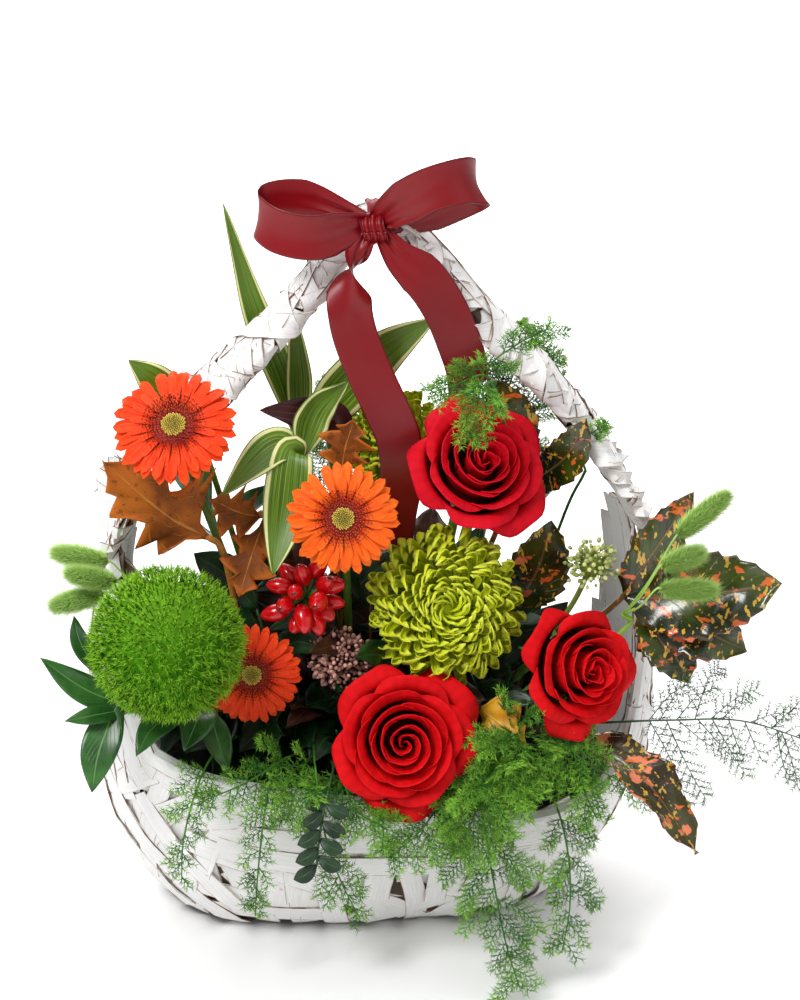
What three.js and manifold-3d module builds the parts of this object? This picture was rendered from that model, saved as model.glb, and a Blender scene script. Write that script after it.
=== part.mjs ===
// Flower basket arrangement: roses, gerberas, chrysanthemums and foliage stand in a block of wet
// foam inside an oval basket of painted chip-wood strips, whose tall hoop handle carries a bow.
// Millimetres, +Z up, front towards -Y, left and right as seen from the front.
// The origin is the centre of the basket's flat underside.

import * as THREE from 'three';
import { mergeVertices } from 'three/addons/utils/BufferGeometryUtils.js';
import Module from 'manifold-3d';

const wasm = await Module();
wasm.setup();

const GAP = 0.3; // left between pieces that touch
const BLADE = 0.8; // thickness of leaves and petals

// Basket: half sizes of its wall's outside, as [height, half size].
const WALL_LEFT = [[0, 112], [25, 131], [66, 148], [110, 156], [155, 159], [205, 150], [232, 142]];
const WALL_RIGHT = [[0, 112], [18, 128], [48, 145], [89, 164], [120, 168], [170, 168], [210, 163],
  [232, 157]];
const WALL_DEPTH = [[0, 52], [10, 67], [30, 80], [60, 91], [100, 99], [140, 102], [232, 104]];
const WALL_THICK = 3.4;
const WALL_SQUARE = 2.6; // exponent of the oval: 2 is an ellipse, more is squarer
// Turns where the wall has corners, round the front half from the right end to the left end.
const WALL_TURNS = [0, 10, 19, 34, 45, 62, 76, 92, 106, 125, 141, 147, 152, 166, 180];
const WALL_ROWS = [0, 0.14, 0.42, 0.7, 1]; // where the wall's profile has corners, from floor to rim
const SHOULDER = 232; // height where the end walls stop and the handle starts
// Rim height round the front half, from the right end (0) to the left end (180 degrees).
const RIM = [[0, SHOULDER], [19, SHOULDER], [34, 108], [45, 84], [62, 80], [76, 86], [92, 103], [106, 111],
  [125, 118], [141, 130], [147, 188], [152, SHOULDER], [180, SHOULDER]];
const RIM_BAND = { drop: 14, proud: 1.4 }; // the strip that is bound round the rim

// Handle: its middle line in the plane Y = 0, and its half width across and half thickness there.
const HOOP = [[-139, SHOULDER], [-131, 247], [-108, 281], [-82, 314], [-66, 331], [-46, 351], [-30, 369],
  [-19, 384], [-7, 400], [6, 409], [20, 404], [42, 382], [62, 357], [84, 334], [107, 309], [128, 281],
  [145, 253], [154, SHOULDER]];
const HOOP_WIDTH = [[0, 59], [0.06, 52], [0.2, 28], [0.33, 15], [0.45, 9], [0.55, 9], [0.67, 15],
  [0.8, 27], [0.94, 42], [1, 45]];
const HOOP_THICK = [[0, 2.6], [0.06, 4], [0.2, 8], [0.4, 8.5], [0.46, 7.5], [0.56, 7.5], [0.62, 8.5],
  [0.8, 9], [0.94, 5], [1, 2.6]];
const HOOP_DISH = 250; // its feet are hollow like the wall: depth is half width squared by this
const HOOP_WAVES = 0.18; // share that its thickness swells where strips are wrapped
const HOOP_STEPS = 20;

// Foam block and the tray that keeps its water from the wood.
const FLOOR = 4;
const TRAY_THICK = 1.2;
const TRAY_TOP = 62;
const TRAY_CLEAR = 7; // between the tray and the wood
const TRAY_ROWS = [0, 0.35, 1];
const TRAY_TURNS = 14;
const FOAM_LENGTH = 178;
const FOAM_DEPTH = 82;
const FOAM_TOP = 92;
const FOAM_TRIM = 24; // cut off its corners
const STEM_DEPTH = 28; // how far a stem is pushed into the foam
const UPRIGHT = 8; // a stem stands straight from this height above the foam

const RIBBON = 25; // width of the satin ribbon

const v3 = (x, y, z) => new THREE.Vector3(x, y, z);
const path = (places) => places.map(([x, y, z]) => v3(x, y, z));
const UP = v3(0, 0, 1);
const GOLDEN = Math.PI * (3 - Math.sqrt(5)); // the turn between neighbours in an even spread

// ---------------------------------------------------------------- helpers

// Straight interpolation in a list of [place, value].
function along(list, place) {
  const last = list.length - 1;
  if (place <= list[0][0]) return list[0][1];
  for (let i = 0; i < last; i++) {
    const [a, low] = list[i];
    const [b, high] = list[i + 1];
    if (place <= b) return low + (high - low) * (place - a) / (b - a);
  }
  return list[last][1];
}

// Repeatable random numbers from 0 to 1.
function dice(seed) {
  let state = seed;
  return () => {
    state = (state * 16807) % 2147483647;
    return state / 2147483647;
  };
}

const spineOf = (points) => new THREE.CatmullRomCurve3(points, false, 'centripetal');

// Positions only, with shared corners merged and collapsed triangles dropped.
function bare(geometry) {
  const copy = geometry.clone();
  copy.deleteAttribute('normal');
  copy.deleteAttribute('uv');
  const merged = mergeVertices(copy, 1e-3);
  const index = merged.index.array;
  const kept = [];
  for (let i = 0; i < index.length; i += 3) {
    const [a, b, c] = [index[i], index[i + 1], index[i + 2]];
    if (a !== b && b !== c && c !== a) kept.push(a, b, c);
  }
  merged.setIndex(kept);
  return merged;
}

function solidOf(geometry) {
  const mesh = bare(geometry);
  return new wasm.Manifold(new wasm.Mesh({
    numProp: 3,
    vertProperties: Float32Array.from(mesh.attributes.position.array),
    triVerts: Uint32Array.from(mesh.index.array),
  }));
}

// Joins geometries or solids, and keeps the body that holds together.
function joined(pieces) {
  let solid = null;
  for (const piece of pieces) {
    const next = piece.isBufferGeometry ? solidOf(piece) : piece;
    solid = solid ? solid.add(next) : next;
  }
  return largest(solid);
}

function largest(solid) {
  const bodies = solid.decompose();
  bodies.sort((a, b) => b.volume() - a.volume());
  return bodies[0];
}

// Moves every corner of a geometry by a rule.
function bend(geometry, rule) {
  const place = geometry.attributes.position;
  for (let i = 0; i < place.count; i++) {
    const moved = rule(v3(place.getX(i), place.getY(i), place.getZ(i)), i);
    place.setXYZ(i, moved.x, moved.y, moved.z);
  }
  return geometry;
}

// Gives an open surface a thickness. Both faces have the same triangles, and the rim is closed.
function thicken(surface, thickness) {
  const sheet = bare(surface);
  sheet.computeVertexNormals();
  const place = sheet.attributes.position;
  const normal = sheet.attributes.normal;
  const index = sheet.index.array;
  const count = place.count;
  const corners = new Float32Array(count * 6);
  for (let i = 0; i < count; i++) {
    for (let axis = 0; axis < 3; axis++) {
      const middle = place.array[i * 3 + axis];
      const half = normal.array[i * 3 + axis] * thickness / 2;
      corners[i * 3 + axis] = middle + half;
      corners[(count + i) * 3 + axis] = middle - half;
    }
  }
  const faces = [];
  const edges = new Set();
  for (let i = 0; i < index.length; i += 3) {
    const face = [index[i], index[i + 1], index[i + 2]];
    faces.push(...face, face[2] + count, face[1] + count, face[0] + count);
    for (let k = 0; k < 3; k++) edges.add(`${face[k]} ${face[(k + 1) % 3]}`);
  }
  for (const edge of edges) {
    const [a, b] = edge.split(' ').map(Number);
    if (!edges.has(`${b} ${a}`)) faces.push(b, a, a + count, b, a + count, b + count);
  }
  const solid = new THREE.BufferGeometry();
  solid.setAttribute('position', new THREE.BufferAttribute(corners, 3));
  solid.setIndex(faces);
  return solid;
}

// A blade along the points of a spine, facing about one way. halfWidth(v) is its half width at v
// from 0 at the root to 1 at the tip, sweep slides its edges towards the tip, fold lifts them and
// wave makes them rise and fall.
function blade({ spine, facing, halfWidth, rows, columns = 2, fold = 0.15, sweep = 0, wave = 0,
  thickness = BLADE }) {
  const curve = spineOf(spine);
  const surface = bend(new THREE.PlaneGeometry(2, 1, columns, rows), (p) => {
    const v = 0.5 - p.y;
    const slid = Math.min(1, v + sweep * Math.abs(p.x) * Math.sin(Math.PI * v));
    const centre = curve.getPoint(slid);
    const tangent = curve.getTangent(slid);
    const side = facing.clone().cross(tangent).normalize();
    const lift = tangent.clone().cross(side).normalize();
    const reach = v > 0.999 ? 0 : halfWidth(v);
    const height = Math.abs(p.x) * reach * fold + wave * p.x * Math.sin(v * 9);
    return centre.addScaledVector(side, p.x * reach).addScaledVector(lift, v > 0.999 ? 0 : height);
  });
  return thicken(surface, thickness);
}

// Half width of a plain pointed leaf, widest at `at`.
const lance = (width, at = 0.45, root = 1.2) => (v) => {
  const rise = v < at ? Math.sin(v / at * Math.PI / 2) : Math.cos((v - at) / (1 - at) * Math.PI / 2);
  return root * (1 - v) + (width - root) * Math.max(0, rise);
};

// A round stem with few sides, bent at each of its points from top to foot.
function tube(points, radius, sides = 3) {
  const last = points.length - 1;
  return bend(new THREE.CylinderGeometry(radius, radius, 1, sides, last), (p) => {
    const i = Math.round((0.5 - p.y) * last);
    const heading = points[Math.min(last, i + 1)].clone().sub(points[Math.max(0, i - 1)]).normalize();
    const turn = new THREE.Quaternion().setFromUnitVectors(v3(0, 0, -1), heading);
    return v3(p.x, -p.z, 0).applyQuaternion(turn).add(points[i]);
  });
}

// A profile of [distance from the axis, height] turned round +Z.
function turned(profile, size, sides) {
  const points = profile.map(([r, z]) => new THREE.Vector2(r * size, z * size));
  return new THREE.LatheGeometry(points, sides).rotateX(Math.PI / 2);
}

// Places a shape made round its own +Z at a centre, facing a direction.
function aimed(geometry, centre, facing, turn = 0) {
  const placed = geometry.clone();
  placed.rotateZ(turn);
  placed.applyQuaternion(new THREE.Quaternion().setFromUnitVectors(UP, facing.clone().normalize()));
  placed.translate(centre.x, centre.y, centre.z);
  return placed;
}

// A closed body with every face drawn out to a point.
function spiked(geometry, reach, random) {
  const base = geometry.index ? geometry.toNonIndexed() : geometry;
  const place = base.attributes.position;
  const corners = [];
  for (let i = 0; i < place.count; i += 3) {
    const [a, b, c] = [0, 1, 2].map((k) => v3(place.getX(i + k), place.getY(i + k), place.getZ(i + k)));
    const normal = b.clone().sub(a).cross(c.clone().sub(a)).normalize();
    const tip = a.clone().add(b).add(c).divideScalar(3);
    tip.addScaledVector(normal, reach * (0.7 + 0.6 * random()));
    for (const [p, q] of [[a, b], [b, c], [c, a]]) {
      for (const corner of [p, q, tip]) corners.push(corner.x, corner.y, corner.z);
    }
  }
  const solid = new THREE.BufferGeometry();
  solid.setAttribute('position', new THREE.Float32BufferAttribute(corners, 3));
  return solid;
}

// ---------------------------------------------------------------- basket

const group = new THREE.Group();
group.name = 'flower_basket_arrangement';

// Adds one named piece to the group.
function add(name, solid, colour, roughness) {
  const mesh = solid.getMesh();
  const geometry = new THREE.BufferGeometry();
  geometry.setAttribute('position', new THREE.BufferAttribute(Float32Array.from(mesh.vertProperties), 3));
  geometry.setIndex(Array.from(mesh.triVerts));
  const material = new THREE.MeshStandardMaterial({ color: colour, roughness, metalness: 0 });
  const piece = new THREE.Mesh(geometry, material);
  piece.name = name;
  group.add(piece);
}

function rimHeight(turn) {
  const around = Math.atan2(Math.sin(turn), Math.cos(turn));
  return along(RIM, Math.abs(THREE.MathUtils.radToDeg(around)));
}

// A point of the wall at a turn round the oval and a height, moved out by `out`.
function wall(turn, height, out = 0) {
  const [c, s] = [Math.cos(turn), Math.sin(turn)];
  const length = along(c > 0 ? WALL_RIGHT : WALL_LEFT, height) + out;
  const depth = along(WALL_DEPTH, height) + out;
  const x = length * Math.sign(c) * Math.abs(c) ** (2 / WALL_SQUARE);
  const y = depth * Math.sign(s) * Math.abs(s) ** (2 / WALL_SQUARE);
  return v3(x, y, height);
}

// A bowl that follows the wall: a turned profile whose corners are moved onto the oval, from the
// middle of the underside out and up to the rim, and down again inside.
function bowl({ inset, thick, floor, bottom, top, rows, turns, band }) {
  const outside = rows.map((row) => (turn) => wall(turn, bottom + (top(turn) - bottom) * row, -inset));
  if (band) {
    const edge = (turn) => top(turn) - band.drop;
    outside.splice(-1, 1, (turn) => wall(turn, edge(turn)), (turn) => wall(turn, edge(turn), band.proud),
      (turn) => wall(turn, top(turn), band.proud));
  }
  const low = bottom + floor;
  const inside = rows.toReversed().map((row) => (turn) => wall(turn, low + (top(turn) - low) * row,
    -inset - thick));
  const corners = [() => v3(0, 0, bottom), ...outside, ...inside, () => v3(0, 0, low)];
  const last = corners.length - 1;
  const profile = corners.map((corner, i) => new THREE.Vector2(i % last ? 1 : 0, i));
  return bend(new THREE.LatheGeometry(profile, turns.length), (p, i) => {
    const turn = turns[Math.floor(i / corners.length) % turns.length];
    return corners[i % corners.length](turn);
  });
}

function makeBasket() {
  const back = WALL_TURNS.slice(1, -1).toReversed().map((turn) => 360 - turn);
  return joined([bowl({ inset: 0, thick: WALL_THICK, floor: FLOOR, bottom: 0, top: rimHeight, rows: WALL_ROWS,
    turns: [...WALL_TURNS, ...back].map(THREE.MathUtils.degToRad), band: RIM_BAND })]);
}

// The hoop: a flat bundle of strips that narrows to a round wrapped grip at the top.
function makeHandle() {
  const curve = spineOf(HOOP.map(([x, z]) => v3(x, 0, z)));
  const hoop = bend(new THREE.CylinderGeometry(1, 1, 1, 6, HOOP_STEPS), (p) => {
    const v = p.y + 0.5;
    const centre = curve.getPoint(v);
    const out = curve.getTangent(v).cross(v3(0, 1, 0)).negate().normalize();
    if (v < 1e-6 || v > 1 - 1e-6) out.set(v < 0.5 ? -1 : 1, 0, 0);
    const across = p.x * along(HOOP_WIDTH, v);
    const dish = across * across / HOOP_DISH * Math.max(0, 1 - 4 * Math.min(v, 1 - v));
    const push = p.z * along(HOOP_THICK, v) * (1 + HOOP_WAVES * Math.sin(v * 70)) - dish;
    return centre.add(v3(0, across, 0)).addScaledVector(out, push);
  });
  hoop.translate(0, 0, GAP);
  return joined([hoop]);
}

function makeTray() {
  const turns = Array.from({ length: TRAY_TURNS }, (_, k) => k / TRAY_TURNS * Math.PI * 2);
  return joined([bowl({ inset: WALL_THICK + TRAY_CLEAR, thick: TRAY_THICK, floor: TRAY_THICK,
    bottom: FLOOR + GAP, top: () => TRAY_TOP, rows: TRAY_ROWS, turns })]);
}

// ---------------------------------------------------------------- stems in the foam

const sockets = []; // what the foam is cut by

// The middle line of a stem that ends straight down in the foam at (x, y).
const stemLine = (points, [x, y]) => [...points, v3(x, y, FOAM_TOP + UPRIGHT),
  v3(x, y, FOAM_TOP - STEM_DEPTH)];

function stem(points, spot, radius, sides = 3) {
  const line = stemLine(points, spot);
  const foot = line.slice(-2).map((p) => p.clone().setZ(p.z - GAP));
  sockets.push(solidOf(tube(foot, radius + 0.8, sides)));
  return tube(line, radius, sides);
}

// The place on a line of straight pieces that is nearest to a point.
function nearest(line, point) {
  let best = line[0];
  for (let i = 1; i < line.length; i++) {
    const place = new THREE.Line3(line[i - 1], line[i]).closestPointToPoint(point, true, v3(0, 0, 0));
    if (place.distanceTo(point) < best.distanceTo(point)) best = place;
  }
  return best;
}

function makeFoam() {
  const [length, depth, trim] = [FOAM_LENGTH / 2, FOAM_DEPTH / 2, FOAM_TRIM];
  const outline = new THREE.Shape();
  outline.moveTo(-length + trim, -depth);
  outline.lineTo(length - trim, -depth);
  outline.lineTo(length, -depth + trim);
  outline.lineTo(length, depth - trim);
  outline.lineTo(length - trim, depth);
  outline.lineTo(-length + trim, depth);
  outline.lineTo(-length, depth - trim);
  outline.lineTo(-length, -depth + trim);
  const bottom = FLOOR + TRAY_THICK + 2 * GAP;
  const block = new THREE.ExtrudeGeometry(outline, { depth: FOAM_TOP - bottom, bevelEnabled: false });
  block.translate(0, 0, bottom);
  let foam = solidOf(block);
  for (const socket of sockets) foam = foam.subtract(socket);
  return largest(foam);
}

// ---------------------------------------------------------------- ribbon

// One run of the ribbon, flat across.
function ribbonRun(points, facing, halfWidth, rows) {
  return blade({ spine: path(points), facing, halfWidth, rows, columns: 1, fold: 0 });
}

function makeBow() {
  const half = RIBBON / 2;
  const knot = new THREE.IcosahedronGeometry(9, 0).scale(1.1, 0.75, 1).translate(5, -17.6, 409);
  const tie = new THREE.Shape(); // the turn of ribbon round the handle
  tie.absellipse(0, 0, 12.4, 12.8, 0, Math.PI * 2);
  const eye = new THREE.Path();
  eye.absellipse(0, 0, 10.8, 11.2, 0, Math.PI * 2);
  tie.holes.push(eye);
  const band = new THREE.ExtrudeGeometry(tie, { depth: 9, bevelEnabled: false, curveSegments: 5 });
  band.rotateX(Math.PI / 2).rotateZ(Math.PI / 2).translate(3.5, 0, 408.5);
  const full = (v) => (v < 0.02 ? 5 : half * Math.min(1, 0.45 + 1.8 * Math.min(v, 1 - v)));
  const loopLeft = [[2, -19, 411], [-14, -27, 413], [-40, -30, 415], [-60, -24, 421], [-64, -12, 426],
    [-48, -6, 424], [-22, -9, 422], [4, -16, 415]];
  const loopRight = [[8, -20, 411], [22, -28, 417], [44, -30, 425], [60, -24, 433], [64, -12, 437],
    [50, -7, 434], [26, -10, 428], [6, -16, 416]];
  const tailLeft = [[3, -19, 410], [-4, -24, 400], [-8, -27, 385], [-11, -28, 370], [-8, -27, 352],
    [1, -28, 330], [11, -30, 309], [19, -29, 290]];
  const tailRight = [[8, -19, 410], [19, -25, 393], [34, -27, 378], [44, -25, 360], [52, -22, 342],
    [58, -19, 326]];
  const narrow = (v) => (v < 0.05 ? 4 : 8.5 + 3 * v);
  return joined([knot, band,
    ribbonRun(loopLeft, v3(0, -1, 0.2), full, 8),
    ribbonRun(loopRight, v3(0, -1, 0.2), full, 8),
    ribbonRun(tailLeft, v3(0.2, -1, 0.1), narrow, 6),
    ribbonRun(tailRight, v3(0.3, -1, 0.3), narrow, 5)]);
}

// ---------------------------------------------------------------- blooms

// Rose petals in rings: the root, belly and tip of each as [distance from the axis, height] in bloom
// radii, with the half angle that a petal spans.
const ROSE_RINGS = [
  { count: 3, root: [0.14, -0.05], belly: [0.36, 0.25], tip: [0.34, 0.56], span: 1.0 },
  { count: 3, root: [0.18, -0.35], belly: [0.58, 0.05], tip: [0.56, 0.46], span: 1.05 },
  { count: 3, root: [0.16, -0.55], belly: [0.76, -0.15], tip: [0.82, 0.26], span: 1.08 },
  { count: 4, root: [0.12, -0.7], belly: [0.86, -0.42], tip: [1, 0], span: 0.88 },
];
// Profiles of the rolled heart and the green hip, as [distance from the axis, height] in bloom radii.
const ROSE_BUD = [[0, -0.8], [0.26, -0.74], [0.4, -0.3], [0.33, 0.3], [0, 0.44]];
const ROSE_HIP = [[0, -0.98], [0.1, -0.98], [0.19, -0.88], [0.2, -0.82], [0, -0.815]];

function rosePetal(ring, radius, turn) {
  const meridian = new THREE.QuadraticBezierCurve(new THREE.Vector2(...ring.root),
    new THREE.Vector2(...ring.belly), new THREE.Vector2(...ring.tip));
  const surface = bend(new THREE.PlaneGeometry(2, 1, 2, 2), (p) => {
    const v = 0.5 - p.y;
    const place = meridian.getPoint(v * (1 - 0.16 * p.x * p.x));
    const spread = turn - p.x * ring.span * (0.5 + 0.5 * Math.sin(Math.PI * 0.8 * v));
    const away = place.x * radius * (1 + 0.07 * p.x);
    return v3(away * Math.cos(spread), away * Math.sin(spread), place.y * radius);
  });
  return thicken(surface, BLADE + 0.2);
}

function makeRose(centre, facing, radius, turn) {
  const pieces = [turned(ROSE_BUD, radius, 5)];
  ROSE_RINGS.forEach((ring, layer) => {
    for (let k = 0; k < ring.count; k++) {
      pieces.push(rosePetal(ring, radius, (k + 0.37 * layer) / ring.count * Math.PI * 2));
    }
  });
  return joined(pieces.map((piece) => aimed(piece, centre, facing, turn)));
}

// Gerbera: one thin blade cut in between its rays, long and short by turns, with a domed disc on it
// and a green calyx under it, at the top of the stem.
const RAYS = 20;
const RAY_OUTLINE = [[0, 0.6], [0.16, 0.94], [0.5, 1], [0.84, 0.94]]; // [share of its turn, radii out]
const SHORT_RAY = 0.84; // reach of every second ray
const DISC = [[0, 0], [0.27, 0], [0.28, 0.05], [0.22, 0.1], [0.17, 0.09], [0.08, 0.125], [0, 0.115]];

function makeRays(centre, facing, radius, turn) {
  const corners = RAY_OUTLINE.length;
  const surface = bend(new THREE.CircleGeometry(1, RAYS * corners), (p, i) => {
    if (i === 0) return v3(0, 0, 0);
    const ray = Math.floor((i - 1) / corners) % RAYS;
    const [share, away] = RAY_OUTLINE[(i - 1) % corners];
    const long = ray % 2 === 0;
    const root = away === RAY_OUTLINE[0][1];
    const out = radius * away * (root || long ? 1 : SHORT_RAY);
    const rise = radius * (root ? 0.02 : long ? -0.04 : 0.12);
    const angle = (ray + share) / RAYS * Math.PI * 2;
    return v3(out * Math.cos(angle), out * Math.sin(angle), rise);
  });
  return joined([aimed(thicken(surface, BLADE), centre, facing, turn)]);
}

function makeDisc(centre, facing, radius) {
  const dome = turned(DISC, radius, 9).translate(0, 0, GAP + BLADE / 2 + 0.065 * radius);
  return joined([aimed(dome, centre, facing)]);
}

function makeCalyx(centre, facing, radius) {
  const profile = [[0, -7], [2.5, -7], [0.24 * radius, -3.4], [0.26 * radius, 0], [0, 0]];
  const cup = turned(profile, 1, 7).translate(0, 0, -GAP - BLADE / 2 - 0.015 * radius);
  return aimed(cup, centre, facing);
}

// Chrysanthemum: incurved petals in rows on a domed core.
function makeMum(centre, facing, radius, rows) {
  const core = bend(new THREE.IcosahedronGeometry(radius * 0.52, 1), (p) => v3(p.x, p.y, p.z * 0.8));
  const pieces = [core];
  rows.forEach(({ count, height, reach, curl }, layer) => {
    for (let k = 0; k < count; k++) {
      const angle = (k + 0.5 * layer) / count * Math.PI * 2;
      const out = v3(Math.cos(angle), Math.sin(angle), 0);
      const round = v3(-Math.sin(angle), Math.cos(angle), 0);
      const at = (r, z, swing = 0) => out.clone().multiplyScalar(r * radius).setZ(z * radius)
        .addScaledVector(round, swing * radius);
      const spine = [at(reach * 0.32, height * 0.85 - 0.03), at(reach * 0.86, height + 0.05, 0.02),
        at(reach, height + curl * 0.6, 0.07), at(reach * 0.9, height + curl, 0.13)];
      const wide = radius * 0.18 * (0.5 + 0.5 * reach);
      pieces.push(blade({ spine, facing: UP, halfWidth: (v) => wide * (v < 0.1 ? 0.5 : 1.15 - 0.3 * v),
        rows: 2, columns: 1, fold: 0, thickness: BLADE + 0.2 }));
    }
  });
  return joined(pieces.map((piece) => aimed(piece, centre, facing, 0.2)));
}

// A cut stem that ends GAP behind a head's back at `reach` behind its centre.
function headStem(centre, facing, reach, spot, radius) {
  const neck = [reach + GAP, reach + 22].map((behind) => centre.clone().addScaledVector(facing, -behind));
  return stem(neck, spot, radius, 5);
}

const RED = '#d40016';
const CRIMSON = '#d8002c';
const GREEN = '#4f8a24';

const ROSES = {
  rose_front: { centre: [12, -104, 141], facing: [0, -0.93, 0.36], radius: 42, turn: 0.3, spot: [6, -37],
    colour: RED },
  rose_right: { centre: [113, -91, 174], facing: [0.42, -0.86, 0.28], radius: 36, turn: 1.2, spot: [53, -33],
    colour: RED },
  rose_top: { centre: [62, -44, 278], facing: [0.12, -0.78, 0.62], radius: 40, turn: 2.1, spot: [30, -1],
    colour: CRIMSON },
};
for (const [name, { radius, turn, spot, colour, ...rose }] of Object.entries(ROSES)) {
  const centre = v3(...rose.centre);
  const facing = v3(...rose.facing).normalize();
  add(name, makeRose(centre, facing, radius, turn), colour, 0.6);
  const hip = turned(ROSE_HIP, radius, 7).translate(0, 0, -GAP);
  const neck = [0.9, 1.35].map((reach) => centre.clone().addScaledVector(facing, -reach * radius));
  add(`${name}_stem`, joined([aimed(hip, centre, facing), stem(neck, spot, 2.8, 5)]), GREEN, 0.6);
}

const GERBERAS = {
  gerbera_top: { centre: [-107, -67, 317], facing: [-0.15, -0.7, 0.7], radius: 35, spot: [-45, -5],
    colour: '#e8400a' },
  gerbera_mid: { centre: [-17, -74, 263], facing: [-0.1, -0.92, 0.37], radius: 32, spot: [-8, -13],
    colour: '#f57a0c' },
  gerbera_low: { centre: [-68, -66, 168], facing: [-0.1, -0.95, 0.3], radius: 29, spot: [-37, -32],
    colour: '#e8340a' },
};
for (const [name, { radius, spot, colour, ...bloom }] of Object.entries(GERBERAS)) {
  const centre = v3(...bloom.centre);
  const facing = v3(...bloom.facing).normalize();
  add(`${name}_rays`, makeRays(centre, facing, radius, 0.1), colour, 0.6);
  add(`${name}_disc`, makeDisc(centre, facing, radius), '#8c8a1e', 0.8);
  const green = [makeCalyx(centre, facing, radius), headStem(centre, facing, 5, spot, 2.3)];
  add(`${name}_stem`, joined(green), GREEN, 0.6);
}

const MUM_ROWS = [
  { count: 10, height: -0.16, reach: 1, curl: 0.22 },
  { count: 8, height: 0.06, reach: 0.86, curl: 0.26 },
  { count: 6, height: 0.26, reach: 0.66, curl: 0.24 },
  { count: 4, height: 0.4, reach: 0.4, curl: 0.2 },
];
const MUMS = {
  mum_front: { centre: [41, -58, 201], facing: [-0.03, -0.93, 0.37], radius: 46, spot: [22, -17],
    rows: MUM_ROWS },
  mum_back: { centre: [20, 16, 273], facing: [-0.05, -0.75, 0.66], radius: 33, spot: [8, 13],
    rows: [MUM_ROWS[1], MUM_ROWS[3]] },
};
for (const [name, { radius, spot, rows, ...bloom }] of Object.entries(MUMS)) {
  const centre = v3(...bloom.centre);
  const facing = v3(...bloom.facing).normalize();
  add(name, makeMum(centre, facing, radius, rows), '#a2ab1a', 0.7);
  add(`${name}_stem`, joined([headStem(centre, facing, radius * 0.42 + 1, spot, 2.6)]), GREEN, 0.6);
}

// A round green dianthus head of thread-like bracts.
function makeDianthus() {
  const centre = v3(-115.5, -106, 207.5);
  const head = spiked(new THREE.IcosahedronGeometry(35, 2), 9, dice(3));
  return joined([aimed(head, centre, UP), stem([v3(-102, -84, 192.5), v3(-96, -50, 178)], [-61, -17], 2.2)]);
}
add('dianthus_head', makeDianthus(), '#66a81c', 0.9);

// Bunny-tail grass: hairy oval heads on thin stalks that run together in one bunch.
function makeBunnyTails(meeting, spot, heads, seed) {
  const random = dice(seed);
  const pieces = [stem([meeting], spot, 1.8), aimed(new THREE.IcosahedronGeometry(3.4, 0), meeting, UP)];
  for (const [base, tip] of heads.map(path)) {
    const direction = tip.clone().sub(base);
    const long = direction.length();
    direction.normalize();
    const body = spiked(new THREE.IcosahedronGeometry(1, 0).scale(4.8, 4.8, long / 2 - 2), 3, random);
    pieces.push(aimed(body, base.clone().lerp(tip, 0.5), direction));
    pieces.push(tube([base.clone().addScaledVector(direction, 6), base, meeting], 1.1));
  }
  return joined(pieces);
}
add('bunny_tails_left', makeBunnyTails(v3(-124, -62, 221), [-70, 3], [
  [[-143, -66, 239], [-176, -73, 250]],
  [[-139, -69, 228], [-169, -81, 241]],
  [[-146, -67, 222], [-178, -77, 219]],
], 11), '#a9d24a', 0.9);
add('bunny_tails_right', makeBunnyTails(v3(141, -64, 194), [76, -25], [
  [[164, -84, 247], [193, -92, 277]],
  [[155, -90, 233], [178, -100, 246]],
  [[153, -94, 222], [185, -108, 226]],
], 12), '#a9d24a', 0.9);

// ---------------------------------------------------------------- leaves

const OUT = [-0.1, -0.95, 0.3]; // the way most leaves in front face

// Half widths at even steps from root to tip, for lobed and toothed leaves.
const stepped = (widths) => (v) => along(widths.map((w, i) => [i / (widths.length - 1), w]), v);

// One leafy stem: each blade's spine starts on the middle line of the stalk from the foam.
function leafyStem(stalk, spot, leaves) {
  const line = stemLine(path(stalk), spot);
  const blades = leaves.map(({ spine, facing = OUT, ...leaf }) => {
    const [root, ...rest] = path(spine);
    return blade({ ...leaf, facing: v3(...facing), spine: [nearest(line, root), ...rest] });
  });
  return joined([stem(path(stalk), spot, 1.5), ...blades]);
}

const OAK = stepped([1.5, 9, 5, 22, 10, 30, 13, 24, 10, 12, 0]);
const OAK_SMALL = stepped([1.5, 10, 6, 17, 8, 14, 7, 0]);
const CROTON = [0.25, 0.62, 0.82, 0.95, 1, 0.9, 0.74, 0.45, 0]; // in shares of the widest
const toothed = (width) => stepped(CROTON.map((share) => share * width + 0.5));

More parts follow.
